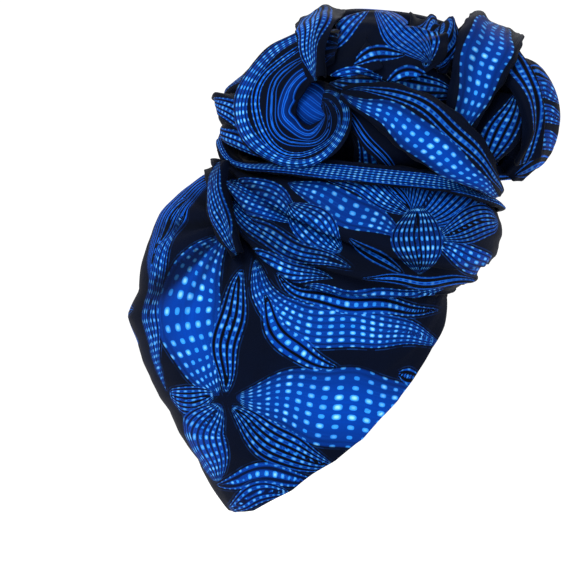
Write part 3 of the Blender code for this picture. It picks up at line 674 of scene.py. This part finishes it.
def sheet_faces(rows, columns, closed, capped):
    """The faces of a thin closed solid whose outer points come first and inner points after."""
    back = rows * columns
    last = columns - 1
    edges = []
    for row in range(rows if closed else rows - 1):
        first = row * columns
        below = (row + 1) % rows * columns
        edges.append((first + last, below + last))
        if not capped:
            edges.append((below, first))
    if not closed:
        end = (rows - 1) * columns
        edges += [(place, place + 1) for place in range(last)]
        edges += [(end + place + 1, end + place) for place in range(last)]
    faces = []
    for quad in quads(rows, columns, closed):
        faces += halves(quad)
        faces += [tuple(back + corner for corner in reversed(half)) for half in halves(quad)]
    for start, stop in edges:
        faces += halves((start, stop, back + stop, back + start))
    if capped:
        ring = [row * columns for row in range(rows)]
        faces.append(ring)
        faces.append([back + corner for corner in reversed(ring)])
    return faces


def two_sides(grid, thickness, closed):
    """The points of the outer side of cloth of that thickness, and then those of its inner side."""
    out = unit(np.cross(along_rows(grid, closed), np.gradient(grid, axis=1)))
    return np.concatenate([(grid + way * thickness / 2 * out).reshape(-1, 3) for way in (1, -1)])


def wall_mesh(name, grid, thickness, closed=False, capped=False):
    """The grid as a closed solid of cloth of that thickness, in metres."""
    mesh = bpy.data.meshes.new(name)
    faces = sheet_faces(grid.shape[0], grid.shape[1], closed, capped)
    mesh.from_pydata((two_sides(grid, thickness, closed) * MM).tolist(), [], faces)
    tidy = bmesh.new()
    tidy.from_mesh(mesh)
    bmesh.ops.recalc_face_normals(tidy, faces=tidy.faces)
    bmesh.ops.triangulate(tidy, faces=tidy.faces)
    tidy.to_mesh(mesh)
    tidy.free()
    return mesh


def core_mesh(name, counts, pleats, deep):
    """The bunched cloth inside the bun: a ball with soft pleats drawn down to its foot."""
    mesh = bpy.data.meshes.new(name)
    ball = bmesh.new()
    bmesh.ops.create_uvsphere(ball, u_segments=counts[0], v_segments=counts[1], radius=1)
    for vertex in ball.verts:
        x, y, z = vertex.co
        pleat = 1 + deep * math.cos(pleats * math.atan2(y, x)) * math.hypot(x, y)
        place = BUN_CENTRE + BUN_HALF * CORE_SHARE * pleat * np.array([x, y, z])
        vertex.co = (place * MM).tolist()
    bmesh.ops.triangulate(ball, faces=ball.faces)
    ball.to_mesh(mesh)
    ball.free()
    return mesh


class Pile:
    """The pieces laid so far, in millimetres. A new sheet is moved out until it clears them all."""

    def __init__(self):
        self.points = []
        self.faces = []
        self.tree = None

    def add(self, mesh):
        first = len(self.points)
        self.points += [[value / MM for value in vertex.co] for vertex in mesh.vertices]
        self.faces += [[first + corner for corner in face.vertices] for face in mesh.polygons]
        self.tree = BVHTree.FromPolygons(self.points, self.faces)

    def shortfall(self, point, way, need):
        """How far a point has to move out that way to be on top of the pile and clear of it."""
        top = self.tree.ray_cast(point + way * FAR_OUT, -way)[0]
        if top is not None:
            above = np.dot(np.array(top) - point, way)
            if above > 0:
                return above + need
        distance = self.tree.find_nearest(point)[3]
        return max(0.0, need - distance)

    def draped(self, grid, outward, need, closed):
        """The grid laid over the pile: each point moved out until the cloth round it is clear."""
        points = grid.reshape(-1, 3).copy()
        ways = outward.reshape(-1, 3)
        cells = quads(grid.shape[0], grid.shape[1], closed)
        triangles = [half for quad in cells for half in halves(quad)]
        for _ in range(DRAPE_PASSES):
            rise = np.zeros(len(points))
            for triangle in triangles:
                corners = list(triangle)
                for shares in DRAPE_SAMPLES:
                    point = shares @ points[corners]
                    short = self.shortfall(point, unit(shares @ ways[corners]), need)
                    rise[corners] = np.maximum(rise[corners], short)
            points += rise[:, None] * ways
            if rise.max() < DRAPE_CLOSE:
                break
        return self.settled(points.reshape(grid.shape), outward, closed)

    def settled(self, grid, outward, closed):
        """The draped grid with the points of each face that still meets the pile eased out."""
        points = grid.copy()
        faces = sheet_faces(grid.shape[0], grid.shape[1], closed, False)
        for _ in range(SETTLE_PASSES):
            sides = two_sides(points, FOLD_WALL + CLEARANCE, closed)
            meeting = self.tree.overlap(BVHTree.FromPolygons(sides.tolist(), faces))
            corners = {corner % (len(sides) // 2) for _, face in meeting for corner in faces[face]}
            if not corners:
                break
            points.reshape(-1, 3)[list(corners)] += SETTLE_STEP * outward.reshape(-1, 3)[list(corners)]
        return points


def kind_of(name):
    """Which kind of sheet it is: a wrap round the band, a near fold of the bun, or another."""
    if name in WRAPS:
        return "wrap"
    return "near" if name in NEAR_FOLDS else "far"


def is_closed(name):
    """Whether the sheet goes all the way round and meets itself."""
    return name == "cap" or name in WRAPS


def sheet_grid(name, points):
    """A sheet's grid, and which way out is at each of its points."""
    counts = points.get(name, points[kind_of(name)])
    if name in WRAPS:
        grid = wrap_grid(name, *counts)
        return grid, wrap_outward(grid)
    if name.endswith("gather_roll"):
        grid = gather_grid(1 if name.startswith("far_") else -1, *counts)
        return grid, unit(grid - GATHER_FROM)
    if name.startswith("far_"):
        grid = far_grid(name.removeprefix("far_"), *counts)
        return grid, bun_outward(grid)
    for folds, axis, way in BUN_FACES:
        if name in folds:
            grid = bun_fold_grid(folds[name], *counts, axis, way)
    return grid, bun_outward(grid)


def eased(values, closed, times):
    """A grid of values with each row drawn, so many times, towards the mean of the rows beside it."""
    for _ in range(times):
        if closed:
            before, after = np.roll(values, 1, axis=0), np.roll(values, -1, axis=0)
        else:
            before, after = values[[0, *range(len(values) - 1)]], values[[*range(1, len(values)), -1]]
        values = values / 2 + (before + after) / 4
    return values


def redrawn(values, row_count, column_count, closed):
    """A grid of values read in smooth curves at more rows and columns."""
    at = np.arange(row_count) / row_count if closed else np.linspace(0, 1, row_count)
    rows = read_between(values, at, closed)
    return read_between(rows.swapaxes(0, 1), np.linspace(0, 1, column_count)).swapaxes(0, 1)


def measured(grid, closed):
    """How far along the sheet each point lies, and its mean width and length, in millimetres."""
    steps = np.linalg.norm(np.diff(grid, axis=0), axis=-1)
    along = np.concatenate([np.zeros((1, grid.shape[1])), np.cumsum(steps, axis=0)])
    width = np.linalg.norm(np.diff(grid, axis=1), axis=-1).sum(axis=1)
    length = along[-1].mean()
    if closed:
        length += np.linalg.norm(grid[0] - grid[-1], axis=-1).mean()
    return along.mean(axis=1)[:, None] + 0 * along, width, length


def tucks(along, across, share, seed):
    """How deep the narrow tucks that run along a sheet are, deeper towards its gathered ends."""
    chance = np.random.default_rng(seed)
    deep = np.zeros(along.shape)
    for apart, most in CREASES:
        phase, drift, bend = chance.uniform(0, 2 * math.pi, 3)
        sway = sum(far * np.sin(along / (times * apart) + start)
                   for (far, times), start in zip(TUCK_SWAYS, (drift, bend)))
        narrow = 1 - np.sqrt(np.sin(math.pi * across / apart + sway + phase) ** 2 + TUCK_ROUNDING)
        deep += most * np.clip(narrow, 0, 1) ** CREASE_SHARPNESS
    return deep * (1 - GATHERED_MORE * np.sin(math.pi * share))


def creased(grid, closed, seed, share_of_depth=1):
    """The grid with its tucks and a slight wave along its free edges, and how much painted shade each point
    gets in its tucks.
    """
    along, width, length = measured(grid, closed)
    share = along / length
    place = np.linspace(-0.5, 0.5, grid.shape[1])[None, :]
    deep = share_of_depth * tucks(along, place * width[:, None], share, seed)
    edge = np.abs(2 * place) ** EDGE_SHARPNESS
    height = CREASE_MIDDLE * share_of_depth - deep
    wave = share_of_depth * EDGE_WAVE_DEPTH * np.sin(2 * math.pi * along / EDGE_WAVE + seed)
    height = height * (1 - EDGE_FLATTER * edge) + edge * wave
    if closed:
        height *= np.clip(SEAM_FADE * np.minimum(share, 1 - share), 0, 1)
    out = unit(np.cross(along_rows(grid, closed), np.gradient(grid, axis=1)))
    return grid + height[..., None] * out, np.clip(deep / TUCK_FULL_MM, 0, 1)


def petal_rows(across, along, outside, style, rise):
    """How far across a petal each point is, how far along, how far outside, and its style there.

    The style's colours fade where the petal rises from its two ends.
    """
    _, rows, pitch, blue, dots, lines, outline = style
    ground = blue * rise**GROUND_FADE
    bright = rise**DOT_FADE
    across = np.minimum(across, FAR_ACROSS)
    plain = 0 * along
    return np.stack([across, along, outside, plain + rows, plain + pitch, plain + ground,
                     plain + dots * bright, plain + lines * bright, plain + outline * bright], axis=-1)


def round_the_end(points, middle, way):
    """Where each point lies in the print, which is laid in the side view.

    It goes on round the back or the front end of the piece and along its far side.
    """
    ahead = way * (points[:, 0] - middle)
    beside = points[:, 1]
    turn = np.arctan2(beside, ahead)
    reach = np.where(turn > math.pi / 2, beside, np.hypot(ahead, beside))
    carried = reach * (math.cos(END_TURN) + np.clip(turn, END_TURN, math.pi / 2) - END_TURN)
    place = np.where(turn > END_TURN, carried - np.where(turn > math.pi / 2, ahead, 0), ahead)
    return np.stack([middle + way * place, points[:, 2]], axis=-1)


def repeated_petal(flat, line, style, repeat):
    """A petal that comes twice, as far apart as the print takes to repeat."""
    petal = line_petal(flat, line, style)
    again = line_petal(flat + np.array([repeat, 0]), line, style)
    closer = again[:, 2] < petal[:, 2]
    petal[closer] = again[closer]
    return petal


def line_petal(flat, line, style):
    """Where each point of the flat print lies in a petal that follows a line."""
    at = np.linspace(0, 1, LINE_STEPS)
    middle = np.stack([column(line, 0, at), column(line, 1, at)], axis=-1)
    heading = unit(np.gradient(middle, axis=0))
    steps = np.linalg.norm(np.diff(middle, axis=0), axis=-1)
    reached = np.concatenate([[0], np.cumsum(steps)])
    nearest = np.argmin(((flat[:, None] - middle[None]) ** 2).sum(axis=-1), axis=1)
    offset = flat - middle[nearest]
    along = reached[nearest] + (offset * heading[nearest]).sum(axis=-1)
    beside = offset[:, 0] * heading[nearest, 1] - offset[:, 1] * heading[nearest, 0]
    aside = np.abs(beside + SWAY_MM * np.sin(along / SWAY_LONG + line[0][0]))
    past = np.maximum(np.maximum(-along, along - reached[-1]), 0)
    share = np.clip(along / reached[-1], 0, 1)
    rise = np.sin(math.pi * share)
    half = np.maximum(style[0] * rise**PETAL_POINT, LEAST_HALF)
    across = np.where(past > 0, FAR_ACROSS, aside / half)
    swelled = reached[-1] * (share + PITCH_SWELL * np.sin(2 * math.pi * share))
    return petal_rows(across, swelled, np.hypot(np.maximum(aside - half, 0), past), style, rise)


def fold_petal(grid, section, middle, style, closed):
    """Where each point lies in a petal that runs along a fold."""
    along, width, length = measured(grid, closed)
    place = np.broadcast_to(column(section, 0, np.linspace(0, 1, grid.shape[1]))[None, :], along.shape)
    rise = np.ones(along.shape) if closed else np.sin(math.pi * np.clip(along / length, 0, 1))
    rise = np.maximum(rise, FOLD_PETAL_END)
    half = style[0] * rise**FOLD_PETAL_POINT
    sway = SWAY_MM * np.sin(along / SWAY_LONG + SWAY_APART * middle) / width[:, None]
    away = np.abs(place - middle + (0 if closed else sway))
    outside = np.maximum(away - half, 0) * width[:, None]
    return petal_rows(away / half, along, outside, style, rise).reshape(-1, 2 + len(style))


def layered(petals):
    """The petals in as few layers as keep those that touch apart."""
    layers = []
    for petal in petals:
        near = petal[:, 2] < PETAL_CLEAR
        for layer in layers:
            if not (near & (layer[:, 2] < PETAL_CLEAR)).any():
                closer = petal[:, 2] < layer[:, 2]
                layer[closer] = petal[closer]
                break
        else:
            layers.append(petal.copy())
    return layers


def mark_print(mesh, petals, painted_shade, layer_count):
    """Writes where each point lies in the print, and how much painted shade it gets, for its material to
    draw.
    """
    values = mesh.attributes.new("painted_shade", "FLOAT", "POINT")
    values.data.foreach_set("value", np.tile(painted_shade.ravel(), 2).astype(np.float32))
    layers = layered(petals)
    empty = np.tile([FAR_ACROSS, 0, PETAL_CLEAR * 2, 1, 1, 0, 0, 0, 0], (len(mesh.vertices) // 2, 1))
    layers += [empty] * (layer_count - len(layers))
    for index, layer in enumerate(layers):
        both = np.concatenate([layer, layer])
        for part, first in (("place", 0), ("style", 3), ("light", 6)):
            values = mesh.attributes.new(f"{part}_{index}", "FLOAT_VECTOR", "POINT")
            values.data.foreach_set("vector", both[:, first:first + 3].astype(np.float32).ravel())


def colour(code):
    """A hexadecimal sRGB colour as the linear colour that Blender wants."""
    parts = [int(code[place:place + 2], 16) / 255 for place in (1, 3, 5)]
    return (*(part / 12.92 if part <= 0.04045 else ((part + 0.055) / 1.055) ** 2.4 for part in parts), 1)


def put(tree, kind, inputs=(), output=0, **settings):
    """Adds a node with its settings, fills or links its inputs by place, and gives one output."""
    node = tree.nodes.new("ShaderNode" + kind)
    for name, value in settings.items():
        setattr(node, name, value)
    for place, value in inputs.items() if isinstance(inputs, dict) else enumerate(inputs):
        if isinstance(value, bpy.types.NodeSocket):
            tree.links.new(value, node.inputs[place])
        else:
            node.inputs[place].default_value = value
    return node.outputs[output]


def petal_group():
    """A node group that draws one layer of petals over the colour beneath.

    In a Mix node of colours, input 0 is the share, 6 and 7 are the colours and output 2 the result.
    """
    tree = bpy.data.node_groups.new("print_petal", "ShaderNodeTree")
    for name in ("Place", "Style", "Light"):
        tree.interface.new_socket(name, in_out="INPUT", socket_type="NodeSocketVector")
    tree.interface.new_socket("Under", in_out="INPUT", socket_type="NodeSocketColor")
    tree.interface.new_socket("Colour", in_out="OUTPUT", socket_type="NodeSocketColor")
    given = tree.nodes.new("NodeGroupInput").outputs
    place, style, light = (tree.nodes.new("ShaderNodeSeparateXYZ") for _ in range(3))
    for node, socket in ((place, given[0]), (style, given[1]), (light, given[2])):
        tree.links.new(socket, node.inputs[0])
    across, along, outside = place.outputs
    rows, pitch, blue = style.outputs
    dots, lines, outline = light.outputs

    # Rows run along the petal, and steps cross them. A dot sits where a row meets a step.
    in_row = put(tree, "Math", (across, rows), operation="MULTIPLY")
    row = put(tree, "Math", (in_row,), operation="ROUND")
    off_row = put(tree, "Math", (in_row, 0.5), operation="PINGPONG")
    in_step = put(tree, "Math", (along, pitch), operation="DIVIDE")
    step = put(tree, "Math", (in_step,), operation="ROUND")
    off_step = put(tree, "Math", (in_step, 0.5), operation="PINGPONG")
    cell = put(tree, "CombineXYZ", (row, step))
    chance = put(tree, "TexWhiteNoise", (cell,), noise_dimensions="2D")
    squared = put(tree, "Math", (across, across), operation="MULTIPLY")

    # The blue ground and the strips fade towards the petal's sides.
    faded = put(tree, "Math", (squared, -SIDE_FADE, 1.0), operation="MULTIPLY_ADD")
    ground_share = put(tree, "Math", (blue, faded), operation="MULTIPLY")
    drawn = put(tree, "Mix", {0: ground_share, 6: colour(NAVY_DARK), 7: colour(ROYAL)}, 2, data_type="RGBA")
    half_strip = put(tree, "Math", (dots, STRIP_WIDER, STRIP_HALF), operation="MULTIPLY_ADD")
    in_strip = put(tree, "Math", (half_strip, off_row), operation="SUBTRACT")
    strip = put(tree, "MapRange", (in_strip, 0.0, STRIP_SOFT), **SOFT_STEP)
    strip = put(tree, "Math", (strip, lines), operation="MULTIPLY")

    # A strip without dots has a brighter thread of blue near each side.
    off_thread = put(tree, "Math", (off_row, STRIP_THREAD), operation="SUBTRACT")
    off_thread = put(tree, "Math", (off_thread,), operation="ABSOLUTE")
    thread = put(tree, "MapRange", (off_thread, *THREAD_EDGE), **SOFT_STEP)
    bare = put(tree, "Math", (1.0, dots), operation="SUBTRACT")
    for share in (bare, lines):
        thread = put(tree, "Math", (thread, share), operation="MULTIPLY")

    # The dots: rounded squares of their own sizes, paler in the middle.
    size = put(tree, "MapRange", (chance, 0.0, 1.0, *DOT_SHARE))
    size = put(tree, "Math", (squared, -DOT_SHRINK, size), operation="MULTIPLY_ADD")
    parts = []
    for off in (off_row, off_step):
        part = put(tree, "Math", (off, size), operation="DIVIDE")
        parts.append(put(tree, "Math", (part, DOT_SQUARENESS), operation="POWER"))
    away = put(tree, "Math", parts, operation="ADD")
    away = put(tree, "Math", (away, 1 / DOT_SQUARENESS), operation="POWER")
    dimmed = put(tree, "Math", (squared, -DOT_DIMMING, 1.0), operation="MULTIPLY_ADD")
    shining = put(tree, "Math", (dots, dimmed), operation="MULTIPLY")
    dot = put(tree, "MapRange", (away, *DOT_EDGE), **SOFT_STEP)
    dot = put(tree, "Math", (dot, shining), operation="MULTIPLY")
    glow = put(tree, "MapRange", (away, *GLOW_EDGE), **SOFT_STEP)
    for share in (chance, shining):
        glow = put(tree, "Math", (glow, share), operation="MULTIPLY")

    # Each is drawn over the one before it.
    for share, code in ((strip, STRIP_BLUE), (thread, LINE_BLUE), (dot, DOT_BLUE), (glow, DOT_PALE)):
        drawn = put(tree, "Mix", {0: share, 6: drawn, 7: colour(code)}, 2, data_type="RGBA")

    # Outside the petal the colour beneath shows, with a thin broken line round some petals.
    inside = put(tree, "MapRange", (across, *PETAL_EDGE), **SOFT_STEP)
    result = put(tree, "Mix", {0: inside, 6: given[3], 7: drawn}, 2, data_type="RGBA")
    off_line = put(tree, "Math", (outside, OUTLINE_AWAY), operation="SUBTRACT")
    off_line = put(tree, "Math", (off_line,), operation="ABSOLUTE")
    drawn_line = put(tree, "MapRange", (off_line, *OUTLINE_EDGE), **SOFT_STEP)
    for share in (outline, chance):
        drawn_line = put(tree, "Math", (drawn_line, share), operation="MULTIPLY")
    result = put(tree, "Mix", {0: drawn_line, 6: result, 7: colour(LINE_BLUE)}, 2, data_type="RGBA")
    tree.links.new(result, tree.nodes.new("NodeGroupOutput").inputs[0])
    return tree


def printed_cotton(name, layers, group):
    """Wax-printed cotton poplin: near-black navy with blue petals.

    Its plain weave and thin wax finish give the eye a matt, deep colour with faint threads, soft
    crumples and hardly a shine.
    """
    material = bpy.data.materials.new(name)
    material.use_nodes = True
    tree = material.node_tree
    shader = tree.nodes["Principled BSDF"]
    where = put(tree, "TexCoord", output="Object")

    # Navy dye, a little uneven.
    dye = put(tree, "TexNoise", {0: where, 2: MM_IN_METRE / DYE_MM, 3: DYE_DETAIL})
    shade = put(tree, "Mix", {0: dye, 6: colour(NAVY_DARK), 7: colour(NAVY)}, 2, data_type="RGBA")

    # The print, layer over layer, brighter in some places than in others.
    patch = put(tree, "TexNoise", {0: where, 2: MM_IN_METRE / PATCH_MM, 3: PATCH_DETAIL})
    patch = put(tree, "MapRange", (patch, *PATCH_RANGE, *PATCH_LIGHT))
    for index in range(layers):
        place, style, light = (put(tree, "Attribute", output="Vector", attribute_name=f"{part}_{index}")
                               for part in ("place", "style", "light"))
        light = put(tree, "VectorMath", {0: light, 3: patch}, operation="SCALE")
        node = tree.nodes.new("ShaderNodeGroup")
        node.node_tree = group
        for socket, value in zip(node.inputs, (place, style, light, shade)):
            tree.links.new(value, socket)
        shade = node.outputs[0]

    # Painted shade: the colour is darkened towards the dark navy at the bottom of a tuck, where little
    # light reaches, and along a wrap's lapped edges.
    painted_shade = put(tree, "Attribute", output="Fac", attribute_name="painted_shade")
    painted_shade = put(tree, "Math", (painted_shade, TUCK_SHADE), operation="MULTIPLY")
    shade = put(tree, "Mix", {0: painted_shade, 6: shade, 7: colour(NAVY_DARK)}, 2, data_type="RGBA")
    tree.links.new(shade, shader.inputs["Base Color"])

    # Crumples and the plain weave of warp and weft.
    crumples = {0: where, 2: MM_IN_METRE / CRUMPLE_MM, 3: CRUMPLE_DETAIL, 4: CRUMPLE_ROUGH}
    crumple = put(tree, "TexNoise", crumples)
    threads = (where, WAVE_TURN * MM_IN_METRE / THREAD_MM, THREAD_BENT, THREAD_DETAIL)
    warp = put(tree, "TexWave", threads, bands_direction="X")
    weft = put(tree, "TexWave", threads, bands_direction="Z")
    weave = put(tree, "Math", (warp, weft), operation="MULTIPLY")
    soft = put(tree, "Bump", {0: CRUMPLE_SHARE, 1: CRUMPLE_DEEP_MM * MM, 3: crumple})
    bumped = put(tree, "Bump", {0: THREAD_SHARE, 1: THREAD_DEEP_MM * MM, 3: weave, 4: soft})
    rough = put(tree, "MapRange", (dye, 0.0, 1.0, *COTTON_ROUGHNESS))
    tree.links.new(rough, shader.inputs["Roughness"])
    tree.links.new(bumped, shader.inputs["Normal"])
    shader.inputs["Specular IOR Level"].default_value = COTTON_SHINE
    shader.inputs["Sheen Weight"].default_value = COTTON_SHEEN
    shader.inputs["Sheen Roughness"].default_value = SHEEN_ROUGHNESS
    return material


def show(piece, material, node):
    """Gives a piece its material, and puts it in the place of its CAD node."""
    piece.data.materials.append(material)
    piece.data.polygons.foreach_set("use_smooth", [True] * len(piece.data.polygons))
    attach(piece, "root")
    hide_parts(node)


def link(name, mesh):
    """A new piece of cloth in the scene, with that mesh."""
    piece = bpy.data.objects.new("cloth_" + name, mesh)
    bpy.context.scene.collection.objects.link(piece)
    return piece


def add_sheet(name, grid, painted_shade, closed, petals, look):
    """One sheet of cloth with its print. Its laid-flat size is measured but not used."""
    material, layer_count, slot, held = look
    mesh = wall_mesh(name, grid, THREAD_WALL, closed, name == "cap")
    mark_print(mesh, petals, painted_shade, layer_count)
    piece = link(name, mesh)
    show(piece, material, name)
    _, width, length = measured(grid, closed)


def make_sheets():
    """Lays the coarse sheets as the CAD does, and draws each one again finely, with its tucks and the
    painted shade in them.
    """
    pile = Pile()
    cap_mesh = wall_mesh("cap_coarse", cap_grid(*CAP_POINTS), CAP_WALL, closed=True, capped=True)
    pile.add(cap_mesh)
    pile.add(core_mesh("core_coarse", CORE_POINTS, CORE_PLEATS, CORE_PLEAT_DEPTH))
    cap = cap_grid(*FINE_CAP)
    # Painted shade in the cap's creases that run out from its gather.
    cap_painted_shade = np.clip(crease_depth(cap) / CAP_TUCK_MM, 0, 1)
    fine = {"cap": (creased(cap, True, CAP_SEED, CAP_CREASED)[0], cap_painted_shade)}
    for name in LAYERS:
        closed = name in WRAPS
        coarse, outward = sheet_grid(name, COARSE_POINTS)
        draped = pile.draped(coarse, outward, FOLD_WALL / 2 + CLEARANCE, closed)
        pile.add(wall_mesh(name + "_coarse", draped, FOLD_WALL, closed))
        grid = sheet_grid(name, FINE_POINTS)[0]
        moved = eased(draped - coarse, closed, EASE_TIMES.get(name, 1))
        grid = grid + redrawn(moved, *grid.shape[:2], closed)
        grid, shade = creased(eased(grid, closed, SMOOTH_TIMES.get(name, 0)), closed, len(fine))
        # Painted shade along a wrap's edges, where the next turn laps it.
        if closed:
            across = np.abs(np.linspace(-1, 1, shade.shape[1]))
            shade = np.maximum(shade, LAP_SHADE * across**LAP_SHARPNESS)
        fine[name] = (grid, shade)
    return fine


def petals_of(name, grid, closed):
    """The petals of the print that fall on a sheet.

    The cap's print goes on round its back end, and that of the wraps round their front end.
    """
    near_name = name.removeprefix("far_")
    points = grid.reshape(-1, 3)
    if name in NEAR_FOLDS and name in LINE_PRINT:
        return [line_petal(points[:, (0, 2)], line, style) for line, style in LINE_PRINT[name]]
    if name in LINE_PRINT:
        middle, way = (0, -1) if name == "cap" else (WRAP_MIDDLE, 1)
        flat = round_the_end(points, middle, way)
        return [repeated_petal(flat, line, style, -way * PRINT_REPEAT) for line, style in LINE_PRINT[name]]
    section = WRAPS[name][0] if name in WRAPS else NEAR_FOLDS.get(near_name, (PUFF,))[0]
    bands = FOLD_PRINT.get(near_name, PLAIN_FOLD_PRINT)
    return [fold_petal(grid, section, middle, style, closed) for middle, style in bands]


def add_camera():
    lens = bpy.data.cameras.new("side_view")
    lens.sensor_width = SENSOR_MM
    lens.lens = SENSOR_MM * CAMERA_AWAY / FRAME_WIDTH
    camera = bpy.data.objects.new("side_view", lens)
    camera.location = (CAMERA_TARGET[0], CAMERA_TARGET[1] - CAMERA_AWAY, CAMERA_TARGET[2])
    camera.rotation_euler = (math.pi / 2, 0, 0)
    bpy.context.scene.collection.objects.link(camera)
    bpy.context.scene.camera = camera


def add_light(name, place, size, watts):
    lamp = bpy.data.lights.new(name, "AREA")
    lamp.energy = watts
    lamp.size = size
    light = bpy.data.objects.new(name, lamp)
    light.location = place
    light.rotation_euler = (Vector(CAMERA_TARGET) - Vector(place)).to_track_quat("-Z", "Y").to_euler()
    bpy.context.scene.collection.objects.link(light)


def add_floor():
    """A plain pale floor under the object, which doesn't touch it."""
    mesh = bpy.data.meshes.new("floor")
    disc = bmesh.new()
    bmesh.ops.create_circle(disc, cap_ends=True, segments=FLOOR_SIDES, radius=FLOOR_RADIUS)
    disc.to_mesh(mesh)
    disc.free()
    floor = bpy.data.objects.new("floor", mesh)
    floor.location = (0, 0, FLOOR_HEIGHT)
    material = bpy.data.materials.new("pale_floor")
    material.use_nodes = True
    tree = material.node_tree
    where = put(tree, "TexCoord", output="Object")
    grain = put(tree, "TexNoise", {0: where, **FLOOR_GRAIN})
    first, second = (colour(code) for code in FLOOR_PALE)
    pale = put(tree, "Mix", {0: grain, 6: first, 7: second}, 2, data_type="RGBA")
    tree.links.new(pale, tree.nodes["Principled BSDF"].inputs["Base Color"])
    tree.nodes["Principled BSDF"].inputs["Roughness"].default_value = FLOOR_ROUGHNESS
    mesh.materials.append(material)
    bpy.context.scene.collection.objects.link(floor)


def add_world():
    world = bpy.data.worlds.new("white_studio")
    world.use_nodes = True
    shade = world.node_tree.nodes["Background"]
    shade.inputs[0].default_value = (1, 1, 1, 1)
    shade.inputs[1].default_value = WORLD_STRENGTH
    bpy.context.scene.world = world
    bpy.context.scene.view_settings.view_transform = "Standard"


def plain(box):
    """A box as plain lists of numbers."""
    return [[float(value) for value in corner] for corner in box]


def print_and_hold(name):
    """Which print a sheet has, which picks its material, and how the sheet is held."""
    if name == "cap":
        return "cap_print", "draped"
    if name in WRAPS:
        return "wrap_print", "stretched"
    return "wrap_print" if name.endswith("gather_roll") else "fold_print", "gathered"


def main():
    """Makes the cloth, the studio and the camera."""
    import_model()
    fine = make_sheets()
    petals = {name: petals_of(name, grid, is_closed(name)) for name, (grid, _) in fine.items()}
    group = petal_group()
    looks = {}
    for slot in ("cap_print", "wrap_print", "fold_print", "core_print"):
        names = [name for name in fine if print_and_hold(name)[0] == slot]
        count = max([len(layered(petals[name])) for name in names], default=0)
        looks[slot] = (printed_cotton("printed_cotton_" + slot.removesuffix("_print"), count, group), count)
    for name, (grid, painted_shade) in fine.items():
        slot, held = print_and_hold(name)
        add_sheet(name, grid, painted_shade, is_closed(name), petals[name], (*looks[slot], slot, held))
    core = link("bun_core", core_mesh("bun_core_fine", FINE_CORE, FINE_PLEATS, FINE_PLEAT_DEPTH))
    show(core, looks["core_print"][0], "bun_core")
    for light in LIGHTS:
        add_light(*light)
    add_floor()
    add_world()
    add_camera()


main()
